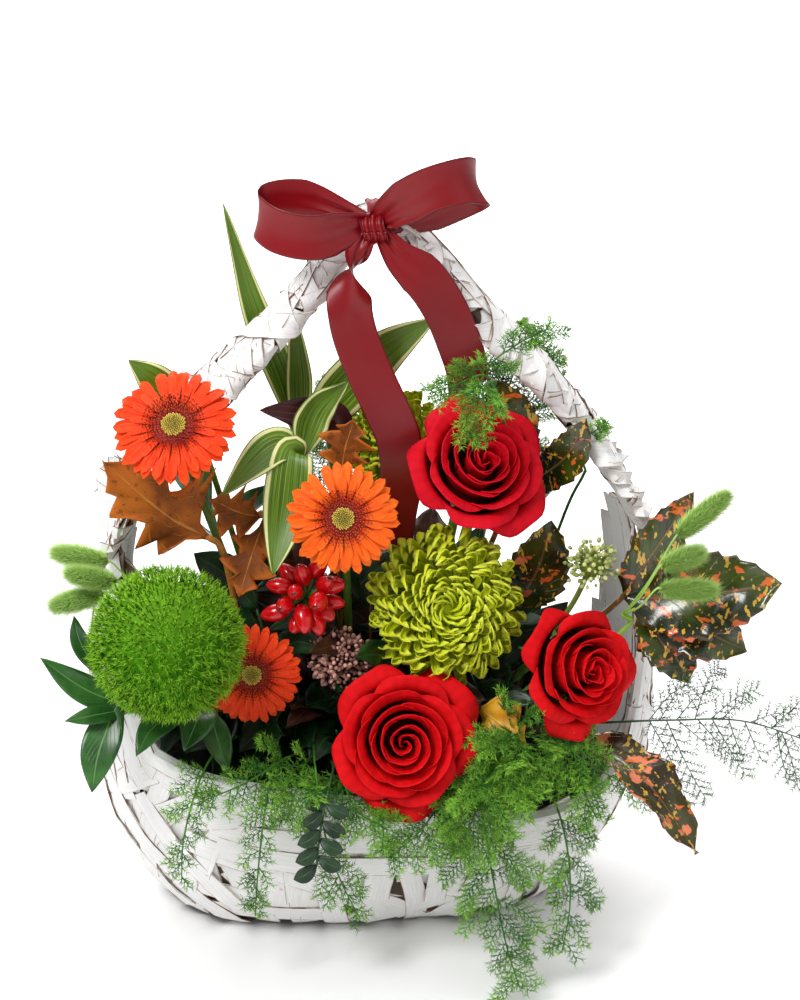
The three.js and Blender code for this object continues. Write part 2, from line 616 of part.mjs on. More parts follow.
const LEAVES = {
  oak_leaf_left: { colour: '#a55a14', spot: [-58, -5],
    stalk: [[-90, -52, 246], [-82, -44, 234], [-74, -28, 190]], leaves: [
      { spine: [[-86, -49, 242], [-113, -56, 262], [-146, -64, 298]], halfWidth: OAK, rows: 10, sweep: 0.05,
        fold: -0.1 }] },
  oak_leaf_middle: { colour: '#a8611a', spot: [-36, 7],
    stalk: [[-60, -34, 252], [-54, -26, 240], [-44, -8, 180]], leaves: [
      { spine: [[-57, -31, 248], [-72, -42, 256], [-88, -50, 268]], halfWidth: OAK_SMALL, rows: 7,
        fold: -0.1 },
      { spine: [[-57, -31, 248], [-66, -48, 232], [-74, -58, 212]], halfWidth: OAK_SMALL, rows: 7,
        fold: -0.1 }] },
  oak_leaf_upper: { colour: '#b0661c', spot: [-14, 2],
    stalk: [[-15, -37, 280], [-15, -30, 262], [-14, -10, 190]], leaves: [
      { spine: [[-15, -36, 272], [-13, -40, 290], [-8, -42, 308]], halfWidth: OAK_SMALL, rows: 7,
        fold: -0.1 }] },
  oak_leaf_low: { colour: '#c98a1e', spot: [38, -27],
    stalk: [[58, -72, 146], [54, -62, 140], [44, -44, 122]], leaves: [
      { spine: [[56, -70, 144], [68, -88, 142], [82, -98, 132]], halfWidth: OAK_SMALL, rows: 7,
        fold: -0.1 }] },
  croton_right: { colour: '#3b4a12', spot: [74, -3],
    stalk: [[146, -56, 206], [134, -50, 190], [104, -24, 150]], leaves: [
      { spine: [[143, -56, 200], [184, -70, 206], [226, -82, 217]], facing: [-0.3, -0.85, 0.5],
        halfWidth: toothed(27), rows: 6, fold: 0.18, wave: 2 },
      { spine: [[142, -55, 202], [160, -61, 234], [178, -66, 267]], facing: [-0.3, -0.9, 0.2],
        halfWidth: toothed(14), rows: 6, wave: 1 }] },
  croton_low: { colour: '#3b4a12', spot: [66, -28],
    stalk: [[122, -78, 130], [112, -66, 132], [88, -44, 126]], leaves: [
      { spine: [[118, -76, 128], [148, -110, 112], [174, -130, 76]], facing: [0.5, -0.6, 0.7],
        halfWidth: toothed(19), rows: 6, fold: 0.3, wave: 2 }] },
  croton_top: { colour: '#38450f', spot: [44, 12],
    stalk: [[98, 8, 270], [88, 10, 240], [62, 12, 170]], leaves: [
      { spine: [[94, 8, 260], [86, 3, 288], [72, 1, 314]], halfWidth: toothed(15), rows: 6 },
      { spine: [[90, 2, 244], [110, -32, 276], [121, -43, 304]], halfWidth: toothed(13), rows: 6 }] },
  croton_middle: { colour: '#38450f', spot: [42, -15],
    stalk: [[88, -26, 190], [76, -22, 170], [56, -18, 136]], leaves: [
      { spine: [[84, -25, 184], [96, -32, 208], [104, -34, 240]], facing: [0.1, -1, 0.2],
        halfWidth: toothed(20), rows: 6, fold: 0.1 }] },
  dracaena_tall: { colour: '#5d8a1e', spot: [-30, 21],
    stalk: [[-36, 26, 290], [-34, 26, 260], [-32, 22, 180]], leaves: [
      { spine: [[-34, 26, 272], [-44, 29, 312], [-58, 30, 350], [-74, 30, 412]], facing: [0.3, -1, 0],
        halfWidth: lance(10), rows: 6, fold: 0.3 },
      { spine: [[-34, 26, 272], [-33, 25, 310], [-36, 27, 350]], facing: [-0.2, -1, 0], halfWidth: lance(8),
        rows: 5, fold: 0.3 }] },
  dracaena_right: { colour: '#5d8a1e', spot: [-8, 19],
    stalk: [[-20, 10, 290], [-16, 14, 260], [-10, 18, 180]], leaves: [
      { spine: [[-18, 12, 278], [-16, 6, 300], [12, 1, 331], [42, -2, 352]], facing: [0.2, -1, 0.5],
        halfWidth: lance(15, 0.5), rows: 5, fold: 0.2 }] },
  dracaena_front: { colour: '#62901f', spot: [-27, -2],
    stalk: [[-38, -34, 292], [-36, -26, 270], [-30, -8, 190]], leaves: [
      { spine: [[-37, -30, 282], [-42, -44, 290], [-47, -54, 262], [-56, -72, 230]], facing: [-0.1, -1, 0.5],
        halfWidth: lance(14, 0.6), rows: 5, fold: 0.2 },
      { spine: [[-37, -30, 282], [-52, -38, 292], [-82, -56, 272]], facing: [0, -0.7, 0.7],
        halfWidth: lance(12, 0.5), rows: 4, fold: 0.2 },
      { spine: [[-37, -30, 282], [-28, -22, 306], [-9, -19, 322]], facing: [0.2, -1, 0.1],
        halfWidth: lance(11, 0.4), rows: 4, fold: 0.3 }] },
  dracaena_left: { colour: '#5d8a1e', spot: [-48, 17],
    stalk: [[-92, -42, 300], [-84, -34, 270], [-62, -2, 180]], leaves: [
      { spine: [[-90, -40, 292], [-112, -38, 328], [-130, -38, 346]], facing: [0, -1, 0.4],
        halfWidth: lance(12, 0.4), rows: 4, fold: 0.2 }] },
  cordyline_leaf: { colour: '#3c0a10', spot: [-18, 12],
    stalk: [[-12, -8, 284], [-14, -2, 262], [-17, 8, 180]], leaves: [
      { spine: [[-12, -6, 276], [-16, -10, 296], [-36, -14, 302], [-58, -16, 306]], facing: [-0.1, -0.8, 0.6],
        halfWidth: lance(11, 0.5), rows: 5, fold: 0.25 }] },
};
for (const [name, { colour, spot, stalk, leaves }] of Object.entries(LEAVES)) {
  add(name, leafyStem(stalk, spot, leaves), colour, 0.45);
}

// Ruscus: pointed oval leaves along a thin woody stem.
const RUSCUS = {
  ruscus_left: { spot: [-80, -14], stalk: [[-153, -82, 182], [-137, -81, 157], [-106, -58, 150]], leaves: [
    [[-140, -81, 160], [-162, -84, 173], [-184, -86, 193], 9],
    [[-142, -81, 164], [-154, -98, 142], [-159, -108, 121], 11],
    [[-153, -82, 181], [-162, -79, 198], [-165, -77, 213], 6],
    [[-137, -80, 157], [-156, -92, 160], [-172, -98, 160], 6]] },
  ruscus_low_left: { spot: [-70, -27], stalk: [[-104, -86, 160], [-96, -66, 152], [-82, -40, 132]], leaves: [
    [[-98, -70, 154], [-100, -98, 158], [-108, -116, 148], 11],
    [[-102, -80, 158], [-124, -94, 152], [-134, -108, 142], 8],
    [[-92, -62, 146], [-88, -84, 135], [-84, -100, 126], 8]] },
  ruscus_back_left: { spot: [-50, 34], stalk: [[-84, 74, 214], [-76, 62, 180], [-60, 44, 140]], leaves: [
    [[-84, 73, 212], [-96, 84, 236], [-100, 88, 262], 13],
    [[-80, 68, 196], [-102, 86, 200], [-124, 92, 204], 12],
    [[-80, 68, 196], [-62, 86, 206], [-44, 92, 220], 12],
    [[-70, 55, 165], [-74, 84, 168], [-84, 108, 160], 13]] },
  ruscus_back_right: { spot: [44, 35], stalk: [[84, 74, 210], [74, 62, 178], [56, 44, 140]], leaves: [
    [[84, 73, 208], [92, 84, 232], [94, 88, 258], 13],
    [[80, 69, 196], [104, 86, 200], [126, 92, 208], 12],
    [[80, 69, 196], [60, 86, 204], [42, 92, 214], 12],
    [[68, 56, 165], [72, 84, 168], [84, 108, 158], 13]] },
};
for (const [name, { spot, stalk, leaves }] of Object.entries(RUSCUS)) {
  const blades = leaves.map(([root, middle, tip, width]) => ({ spine: [root, middle, tip], rows: 3,
    columns: 1, facing: [0, Math.sign(middle[1]) * 0.8, 0.6], halfWidth: lance(width, 0.42), fold: 0 }));
  add(name, leafyStem(stalk, spot, blades), '#285a2a', 0.35);
}

// ---------------------------------------------------------------- berries and buds

// Berries on short stalks round the top of one stem.
function makeBerries(centre, stalk, spot, places, size, stretch) {
  const heart = new THREE.IcosahedronGeometry(size * 1.5, 0);
  const pieces = [aimed(heart, centre, UP), stem(stalk, spot, 1.8)];
  for (const place of places) {
    const out = place.clone().sub(centre).normalize();
    const berry = new THREE.SphereGeometry(size, 5, 3).rotateX(Math.PI / 2).scale(1, 1, stretch);
    pieces.push(aimed(berry, place, out));
  }
  return joined(pieces);
}

// Places spread over the front of a ball by the golden angle.
function overDome(centre, facing, radius, count, cover) {
  const turn = new THREE.Quaternion().setFromUnitVectors(UP, v3(...facing).normalize());
  return Array.from({ length: count }, (_, k) => {
    const z = 1 - cover * (k + 0.5) / count;
    const r = Math.sqrt(1 - z * z);
    const out = v3(r * Math.cos(k * GOLDEN), r * Math.sin(k * GOLDEN), z);
    return out.multiplyScalar(radius).applyQuaternion(turn).add(centre);
  });
}

const BERRY = 5.4; // radius of a berry
const BERRY_STRETCH = 1.7; // its length over its width
const fruit = v3(-36, -53, 208);
add('berries', makeBerries(fruit, [fruit, v3(-32, -36, 180), v3(-27, -24, 140)], [-24, -20],
  overDome(fruit, OUT, 15, 9, 1), BERRY, BERRY_STRETCH), '#be0a19', 0.25);

// A cluster of small buds on a domed core.
function makeBuds(centre, facing, radius, count, size, spot, by) {
  const core = new THREE.IcosahedronGeometry(radius * 0.95, 0);
  const pieces = [aimed(core, centre, v3(...facing)), stem([centre, ...by], spot, 1.8)];
  for (const place of overDome(centre, facing, radius * 0.94, count, 1.15)) {
    pieces.push(aimed(new THREE.OctahedronGeometry(size, 0), place, place.clone().sub(centre)));
  }
  return joined(pieces);
}
add('skimmia_pink', makeBuds(v3(-18, -58, 172), OUT, 16, 10, 5, [-12, -30], [v3(-16, -44, 150)]),
  '#c88c82', 0.7);
add('skimmia_green', makeBuds(v3(124, -54, 220), [0, -0.5, 0.9], 14, 9, 5, [60, -13],
  [v3(112, -42, 186), v3(84, -26, 140)]), '#bec878', 0.7);

// ---------------------------------------------------------------- ferns

const RACHIS = 0.7; // half width of a frond's middle rib
const RIB = 0.8; // half width of a side shoot's rib
const SHOOT_SLANT = 0.95; // angle of the side shoots to the middle rib, in radians
const DROOP = 0.2; // how far the shoots' tips hang, in shares of their reach

// One side of a fern frond laid flat: side shoots at a slant, cut into needles down to their ribs.
// Each corner is [distance along the rachis, distance from it].
function frondEdge(long, shoots, reach, from, shift, random) {
  const [c, s] = [Math.cos(SHOOT_SLANT), Math.sin(SHOOT_SLANT)];
  const edge = [];
  for (let k = 0; k < shoots; k++) {
    const share = (k + shift) / shoots;
    const at = long * (from + (0.97 - from) * share);
    const size = reach * (1 - 0.6 * share) * (0.85 + 0.3 * random());
    const needles = size > reach * 0.84 ? 2 : 1;
    const half = [[0, RIB]];
    for (let n = 0; n < needles; n++) {
      const step = size * 0.74 / needles;
      half.push([step * (n + 0.2) + 6, 8 - 2 * n], [step * (n + 1), RIB * 0.8]);
    }
    const outline = [...half.map(([x, y]) => [x, -y]), [size, 0], ...half.toReversed()];
    for (const [x, y] of outline) edge.push([at + x * c + y * s, Math.max(RACHIS, x * s - y * c)]);
  }
  return edge;
}

// A frond: one thin blade with shoots to both sides, bent along its path.
function makeFern({ rib, spot, shoots, reach, seed, facing, from = 0.2 }) {
  const random = dice(seed);
  const curve = spineOf(path(rib));
  const long = curve.getLength();
  const left = frondEdge(long, shoots, reach, from, 0.1, random);
  const right = frondEdge(long, shoots, reach, from, 0.55, random);
  const start = 0.11 * long;
  const outline = [[start, -RACHIS], ...right.map(([x, y]) => [x, -y]), [long + reach * 0.3, 0],
    ...left.toReversed(), [start, RACHIS]];
  const flat = new THREE.ShapeGeometry(new THREE.Shape(outline.map(([x, y]) => new THREE.Vector2(x, y))));
  const frond = bend(flat, (p) => {
    const v = Math.min(1, p.x / long);
    const tangent = curve.getTangentAt(v);
    const across = v3(...facing).cross(tangent).normalize();
    const lift = tangent.clone().cross(across).normalize();
    return curve.getPointAt(v).addScaledVector(tangent, Math.max(0, p.x - long)).addScaledVector(across, p.y)
      .addScaledVector(lift, -DROOP * p.y * p.y / reach);
  });
  const foot = [curve.getPointAt(0.16), curve.getPointAt(0.08), curve.getPointAt(0)];
  return joined([thicken(frond, BLADE), stem(foot, spot, 1.2)]);
}

const FERN = '#4fa02c';
const FRONT = [0, -1, 0.3]; // the ways fronds face
const BACK = [0, 1, 0.3];
const FERNS = {
  fern_right: { spot: [78, -16], facing: [0, -0.9, 0.5], reach: 50, shoots: 5, seed: 5, colour: '#2f6a2c',
    from: 0.42, rib: [[112, -54, 122], [136, -80, 135], [166, -91, 140], [206, -97, 140], [252, -103, 124]] },
  fern_top: { spot: [36, 23], facing: FRONT, reach: 42, shoots: 4, seed: 6, colour: FERN,
    rib: [[58, 26, 200], [76, 34, 260], [90, 36, 300], [104, 36, 330]] },
  fern_left: { spot: [-60, -33], facing: [-0.2, -0.9, 0.3], reach: 30, shoots: 4, seed: 7, colour: FERN,
    from: 0.4,
    rib: [[-78, -58, 126], [-92, -92, 132], [-102, -112, 122], [-110, -120, 96], [-112, -124, 72]] },
  fern_front_left: { spot: [-49, -36], facing: FRONT, reach: 32, shoots: 4, seed: 8, colour: FERN, from: 0.45,
    rib: [[-54, -66, 122], [-60, -102, 126], [-66, -118, 104], [-70, -122, 72], [-72, -124, 48]] },
  fern_front: { spot: [-24, -37], facing: FRONT, reach: 32, shoots: 4, seed: 9, colour: FERN, from: 0.45,
    rib: [[-34, -66, 123], [-36, -104, 126], [-32, -118, 92], [-24, -123, 66], [-14, -125, 44]] },
  fern_front_right: { spot: [24, -37], facing: [0, -0.9, 0.5], reach: 34, shoots: 4, seed: 10, colour: FERN,
    from: 0.4, rib: [[48, -64, 106], [56, -100, 98], [60, -122, 68], [66, -138, 32], [72, -154, 11]] },
  fern_low_right: { spot: [38, -37], facing: [0.2, -0.9, 0.4], reach: 32, shoots: 4, seed: 11, colour: FERN,
    from: 0.4, rib: [[84, -62, 104], [98, -92, 96], [104, -112, 74], [104, -126, 46], [98, -138, 22]] },
  fern_back_left: { spot: [-20, 36], facing: BACK, reach: 40, shoots: 3, seed: 12, colour: FERN,
    rib: [[-14, 62, 140], [-8, 88, 190], [-4, 104, 240], [0, 108, 276]] },
  fern_back_right: { spot: [16, 36], facing: BACK, reach: 40, shoots: 3, seed: 13, colour: FERN,
    rib: [[20, 66, 132], [24, 104, 136], [30, 124, 110], [36, 132, 76], [40, 136, 44]] },
};
for (const [name, { colour, ...fern }] of Object.entries(FERNS)) add(name, makeFern(fern), colour, 0.7);

// ---------------------------------------------------------------- bow, holder and foam

add('ribbon_bow', makeBow(), '#7d1e26', 0.35);
add('basket', makeBasket(), '#ebe8e6', 0.6);
add('handle', makeHandle(), '#ebe8e6', 0.6);
add('tray', makeTray(), '#2b2b2b', 0.4);
add('foam', makeFoam(), '#3d5a33', 0.95);

export default group;
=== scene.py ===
import math

import bpy
import numpy as np
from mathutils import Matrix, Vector


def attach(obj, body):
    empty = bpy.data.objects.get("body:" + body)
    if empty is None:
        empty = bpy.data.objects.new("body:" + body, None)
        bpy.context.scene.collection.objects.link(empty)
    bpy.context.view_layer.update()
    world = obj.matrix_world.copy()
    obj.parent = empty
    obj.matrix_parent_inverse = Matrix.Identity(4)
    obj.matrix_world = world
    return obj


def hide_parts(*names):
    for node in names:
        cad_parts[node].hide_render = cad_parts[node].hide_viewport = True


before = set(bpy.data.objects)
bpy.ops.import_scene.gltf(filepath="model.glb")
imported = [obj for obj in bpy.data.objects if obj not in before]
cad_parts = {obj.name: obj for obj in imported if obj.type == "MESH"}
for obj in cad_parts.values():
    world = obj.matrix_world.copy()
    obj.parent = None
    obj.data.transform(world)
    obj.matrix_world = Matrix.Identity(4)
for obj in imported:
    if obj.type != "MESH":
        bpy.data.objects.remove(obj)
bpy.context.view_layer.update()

# Flower basket arrangement: finer blooms, leaves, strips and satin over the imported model.
# Lengths are in millimetres and go into the meshes in metres. Front is -Y. Camera and lamps are in metres.
mm = 0.001
golden = math.pi * (3 - math.sqrt(5))  # turn between a bloom's petals


def unit(vectors):
    lengths = np.linalg.norm(vectors, axis=-1, keepdims=True)
    return vectors / np.maximum(lengths, 1e-9)


def ease(low, high, value):
    share = np.clip((value - low) / (high - low), 0, 1)
    return share * share * (3 - 2 * share)


def listed(stops, place):
    # straight interpolation in a list of (place, value)
    return np.interp(place, [a for a, b in stops], [b for a, b in stops])


def alongCurve(points, share):
    # places and headings on a smooth curve through points, share from 0 to 1
    points = np.array(points, float)
    ends = np.vstack([2 * points[0] - points[1], points, 2 * points[-1] - points[-2]])
    step = np.clip(np.asarray(share, float), 0, 1) * (len(points) - 1)
    first = np.minimum(step.astype(int), len(points) - 2)
    f = (step - first)[..., None]
    a, b, c, d = (ends[first + k] for k in range(4))
    bend, twist = 2 * a - 5 * b + 4 * c - d, 3 * b - a - 3 * c + d
    place = 0.5 * (2 * b + (c - a) * f + bend * f**2 + twist * f**3)
    heading = 0.5 * ((c - a) + 2 * bend * f + 3 * twist * f**2)
    return place, unit(heading)


def turnTo(facing, spin=0.0):
    # local x, y and z of a shape whose +Z faces that way
    z = unit(np.array(facing, float))
    x = unit(np.cross((0.0, 0.0, 1.0), z)) if abs(z[2]) < 0.98 else np.array((1.0, 0.0, 0.0))
    y = np.cross(z, x)
    c, s = math.cos(spin), math.sin(spin)
    return np.array([x * c + y * s, y * c - x * s, z])


def primitive(add, **settings):
    # a primitive's corners and faces, to be shaped and copied
    add(**settings)
    seed = bpy.context.object
    corners = np.array([v.co[:] for v in seed.data.vertices])
    faces = [np.array([f.vertices[:] for f in seed.data.polygons if len(f.vertices) == n]) for n in (3, 4)]
    bpy.data.objects.remove(seed)
    return corners, [f for f in faces if len(f)]


cells = {}


def cell(columns, rows):
    # a flat grid as places across, -1 to 1, and along, 0 to 1
    if (columns, rows) not in cells:
        corners, faces = primitive(bpy.ops.mesh.primitive_grid_add, x_subdivisions=columns,
                                   y_subdivisions=rows, size=2)
        cells[columns, rows] = corners[:, 0], (corners[:, 1] + 1) / 2, faces
    return cells[columns, rows]


crispAngle = math.radians(35)  # edges sharper than this stay crisp on the wood


class Heap:
    # gathers small shapes and makes one piece of them

    def __init__(self):
        self.spots, self.faces, self.uv, self.tone, self.total = [], [], [], [], 0

    def put(self, spots, faces, across=0.0, along=0.0, tone=0.0):
        count = len(spots)
        for group in faces:
            self.faces.append(group + self.total)
        self.spots.append(spots)
        self.uv.append(np.stack([np.full(count, 0.0) + across, np.full(count, 0.0) + along], axis=1))
        self.tone.append(np.full(count, 0.0) + tone)
        self.total += count

    def piece(self, name, nodes, slot, finishes, thick=0.0, rim=False):
        # thick gives a flat shape its wall, and rim a second finish and crisp corners at the cut edges
        mesh = bpy.data.meshes.new(name)
        spots = np.concatenate(self.spots) * mm
        loops = np.concatenate([f.ravel() for f in self.faces]).astype(np.int32)
        sizes = np.concatenate([np.full(len(f), f.shape[1]) for f in self.faces])
        mesh.vertices.add(len(spots))
        mesh.vertices.foreach_set("co", spots.ravel())
        mesh.loops.add(len(loops))
        mesh.loops.foreach_set("vertex_index", loops)
        mesh.polygons.add(len(sizes))
        starts = np.concatenate([[0], np.cumsum(sizes)[:-1]]).astype(np.int32)
        mesh.polygons.foreach_set("loop_start", starts)
        mesh.update(calc_edges=True)
        mesh.uv_layers.new(name="along").data.foreach_set("uv", np.concatenate(self.uv)[loops].ravel())
        mesh.attributes.new("tone", "FLOAT", "POINT").data.foreach_set("value", np.concatenate(self.tone))
        mesh.polygons.foreach_set("use_smooth", np.full(len(sizes), True))
        for finish in finishes:
            mesh.materials.append(finish.material)
        made = bpy.data.objects.new(name, mesh)
        bpy.context.scene.collection.objects.link(made)
        if thick:
            wall = made.modifiers.new("wall", "SOLIDIFY")
            wall.thickness = thick * mm
            wall.offset = 0
            wall.material_offset_rim = 1 if rim else 0
            applyAll(made)
            if rim:
                bpy.ops.object.shade_smooth_by_angle(angle=crispAngle)
        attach(made, "root")
        if nodes:
            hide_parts(*nodes)
        return made


def applyAll(made):
    bpy.ops.object.select_all(action="DESELECT")
    made.select_set(True)
    bpy.context.view_layer.objects.active = made
    for modifier in list(made.modifiers):
        bpy.ops.object.modifier_apply(modifier=modifier.name)


def blade(heap, points, facing, width, columns=6, rows=14, cup=0.0, sweep=0.0, ripple=0.0, waves=3.0,
          roll=0.0, tone=0.0):
    # a leaf or petal along a curve: width(v, u) is its half width, cup lifts its edges, roll turns its tip
    u, v, faces = cell(columns, rows)
    slid = np.clip(v + sweep * np.abs(u) ** 1.4 * np.sin(np.pi * v), 0, 1)
    place, heading = alongCurve(points, slid)
    side = unit(np.cross(heading, np.array(facing, float)))
    lift = np.cross(side, heading)
    reach = width(v, u)
    rise = np.abs(u) ** 1.5
    height = cup * reach * rise + ripple * np.sin(v * waves * 2 * np.pi + 2 * u) * rise
    height = height - roll * ease(0.7, 1, v) ** 2
    spots = place + side * (u * reach)[:, None] + lift * height[:, None]
    heap.put(spots, faces, (u + 1) / 2, v, tone)


def tube(heap, points, radius, sides=8, steps=16, tip=1.0, tone=0.0):
    # a round stem through points, with closed ends
    share = np.linspace(0, 1, steps + 1)
    place, heading = alongCurve(points, share)
    side = unit(np.cross(heading, (0.13, 0.98, 0.2)))
    other = np.cross(heading, side)
    turn = np.arange(sides) / sides * 2 * math.pi
    size = radius * (1 + (tip - 1) * share)[:, None, None]
    ring = side[:, None, :] * np.cos(turn)[None, :, None] + other[:, None, :] * np.sin(turn)[None, :, None]
    spots = (place[:, None, :] + ring * size).reshape(-1, 3)
    corner = np.arange(sides)
    after = (corner + 1) % sides
    belt = np.stack([corner, after, after + sides, corner + sides], axis=1)
    belts = np.concatenate([belt + sides * k for k in range(steps)])
    caps = np.stack([corner[::-1], corner + sides * steps])
    heap.put(spots, [belts, caps], 0.5, np.repeat(share, sides), tone)


def needles(heap, roots, tips, radius, tone=0.0):
    # many three-sided needles at once
    heading = unit(tips - roots)
    side = unit(np.cross(heading, (0.31, 0.2, 0.93)))
    other = np.cross(heading, side)
    thirds = (0, 2.094, 4.189)
    corners = [roots + radius * (side * math.cos(a) + other * math.sin(a)) for a in thirds]
    spots = np.stack(corners + [tips], axis=1).reshape(-1, 3)
    first = np.arange(len(roots))[:, None, None] * 4
    faces = (first + np.array([[0, 1, 3], [1, 2, 3], [2, 0, 3], [2, 1, 0]])).reshape(-1, 3)
    tones = np.repeat(np.zeros(len(roots)) + tone, 4)
    heap.put(spots, [faces], 0.5, np.tile([0, 0, 0, 1.0], len(roots)), tones)


ballShape = {}


def balls(heap, places, size, stretch=1.0, facings=None, rings=6, tone=0.0, point=0.0):
    # small balls, drawn out along their facing, with a point at the tip where asked
    if rings not in ballShape:
        ballShape[rings] = primitive(bpy.ops.mesh.primitive_uv_sphere_add, segments=rings + 2,
                                     ring_count=rings, radius=1)
    corners, faces = ballShape[rings]
    peak = np.clip(corners[:, 2], 0, 1) ** 6 * point
    shape = corners * (1, 1, stretch) + np.stack([corners[:, 0] * 0, corners[:, 0] * 0, peak], axis=1)
    for k, place in enumerate(places):
        axes = turnTo(facings[k] if facings is not None else (0, 0, 1))
        here = size[k] if hasattr(size, "__len__") else size
        shade = tone[k] if hasattr(tone, "__len__") else tone
        heap.put(shape @ axes * here + place, faces, 0.5, (corners[:, 2] + 1) / 2, shade)


def paint(red, green, blue):
    # a screen colour as the shader's own
    shares = [c / 255 for c in (red, green, blue)]
    return tuple(c / 12.92 if c < 0.04045 else ((c + 0.055) / 1.055) ** 2.4 for c in shares) + (1.0,)


class Term:
    # a socket that takes sums, so that shader maths reads as plain expressions

    def __init__(self, finish, socket):
        self.finish = finish
        self.socket = socket

    def sum(self, operation, a, b=0.0):
        return self.finish.node("ShaderNodeMath", {"operation": operation}, {0: a, 1: b})

    def __add__(self, other):
        return self.sum("ADD", self, other)

    def __radd__(self, other):
        return self.sum("ADD", other, self)

    def __sub__(self, other):
        return self.sum("SUBTRACT", self, other)

    def __rsub__(self, other):
        return self.sum("SUBTRACT", other, self)

    def __mul__(self, other):
        return self.sum("MULTIPLY", self, other)

    def __rmul__(self, other):
        return self.sum("MULTIPLY", other, self)

    def __gt__(self, other):
        return self.sum("GREATER_THAN", self, other)

    def __lt__(self, other):
        return self.sum("LESS_THAN", self, other)

    def __abs__(self):
        return self.sum("ABSOLUTE", self)

    def sine(self):
        return self.sum("SINE", self)

    def fraction(self):
        return self.sum("FRACT", self)

    def band(self, low, high):
        # 0 below low to 1 above high
        settings = {"interpolation_type": "SMOOTHSTEP"}
        return self.finish.node("ShaderNodeMapRange", settings, {0: self, 1: low, 2: high, 3: 0.0, 4: 1.0})


finishes = {}


class Finish:
    # a principled material and its nodes, kept in finishes under its name

    def __init__(self, name, **constants):
        self.material = bpy.data.materials.new(name)
        self.material.use_nodes = True
        self.tree = self.material.node_tree
        self.shader = next(n for n in self.tree.nodes if n.type == "BSDF_PRINCIPLED")
        for socket, value in constants.items():
            self.give(socket.replace("_", " "), value)
        finishes[name] = self

    def feed(self, socket, value):
        if isinstance(value, Term):
            self.tree.links.new(value.socket, socket)
        else:
            socket.default_value = value

    def node(self, kind, settings=None, inputs=None, output=0):
        made = self.tree.nodes.new(kind)
        for setting, value in (settings or {}).items():
            setattr(made, setting, value)
        for socket, value in (inputs or {}).items():
            self.feed(made.inputs[socket], value)
        return Term(self, made.outputs[output])

    def give(self, socket, value):
        self.feed(self.shader.inputs[socket], value)

    def mapped(self):
        # across and along from the piece's own map
        split = self.node("ShaderNodeSeparateXYZ", None, {0: self.node("ShaderNodeTexCoord", output="UV")})
        return split, Term(self, split.socket.node.outputs[1])

    def tone(self):
        return self.node("ShaderNodeAttribute", {"attribute_name": "tone"}, output="Fac")

    def noise(self, scale, detail=3, stretch=None, at=None):
        # over the piece's place, stretched where asked, or over the terms in at
        if at:
            where = self.node("ShaderNodeCombineXYZ", None, dict(enumerate(at)))
        else:
            where = self.node("ShaderNodeTexCoord", output="Object")
        if stretch:
            where = self.node("ShaderNodeMapping", None, {"Vector": where, "Scale": stretch})
        return self.node("ShaderNodeTexNoise", None, {"Vector": where, "Scale": scale, "Detail": detail})

    def mix(self, share, a, b):
        return self.node("ShaderNodeMix", {"data_type": "RGBA"}, {0: share, 6: a, 7: b}, output=2)

    def bump(self, height, strength=0.3, distance=0.001):
        inputs = {"Height": height, "Strength": strength, "Distance": distance}
        self.give("Normal", self.node("ShaderNodeBump", None, inputs))


# deep at the root, painted shade between the petals; full over the petal from one share of its length to
# another; edge, a painted highlight at the rim
petals = {
    "rose": {"deep": paint(70, 0, 2), "full": paint(216, 0, 8), "edge": paint(224, 0, 18), "rough": 0.75,
             "sheen": 0.0, "streaks": 60, "rimHighlight": 0.4, "reach": (0.35, 0.78)},
    "roseTop": {"deep": paint(70, 0, 2), "full": paint(212, 0, 20), "edge": paint(222, 4, 46), "rough": 0.75,
                "sheen": 0.0, "streaks": 60, "rimHighlight": 0.4, "reach": (0.35, 0.78)},
    "gerberaRed": {"deep": paint(176, 8, 0), "full": paint(240, 58, 2), "edge": paint(248, 104, 24),
                   "rough": 0.55, "sheen": 0.1, "streaks": 26, "rimHighlight": 0.35, "reach": (0.0, 0.5)},
    "gerberaOrange": {"deep": paint(196, 14, 0), "full": paint(246, 96, 6), "edge": paint(252, 140, 30),
                      "rough": 0.55, "sheen": 0.1, "streaks": 26, "rimHighlight": 0.35, "reach": (0.0, 0.6)},
    "mum": {"deep": paint(132, 148, 4), "full": paint(214, 224, 26), "edge": paint(236, 240, 96),
            "rough": 0.5, "sheen": 0.1, "streaks": 20, "rimHighlight": 0.6, "reach": (0.1, 0.7)},
}


def petalFinish(name, look):
    made = Finish(name, Roughness=look["rough"], Sheen_Weight=look["sheen"], Sheen_Roughness=0.5,
                  Specular_IOR_Level=0.2)
    across, along = made.mapped()
    streaks = ((across * look["streaks"]).sine() * 0.5 + 0.5) * made.noise(220, 2)
    # the deep colour at the root is painted shade, and the edge colour at the rim a painted highlight; the
    # random tone also pulls some petals towards the edge colour
    colour = made.mix(along.band(*look["reach"]), look["deep"], look["full"])
    colour = made.mix(along.band(0.8, 1.0) * look["rimHighlight"] + made.tone() * 0.5, colour, look["edge"])
    made.give("Base Color", made.mix(streaks * 0.25, colour, look["deep"]))
    made.bump(streaks + made.noise(600) * 0.5, 0.25, 0.0004)


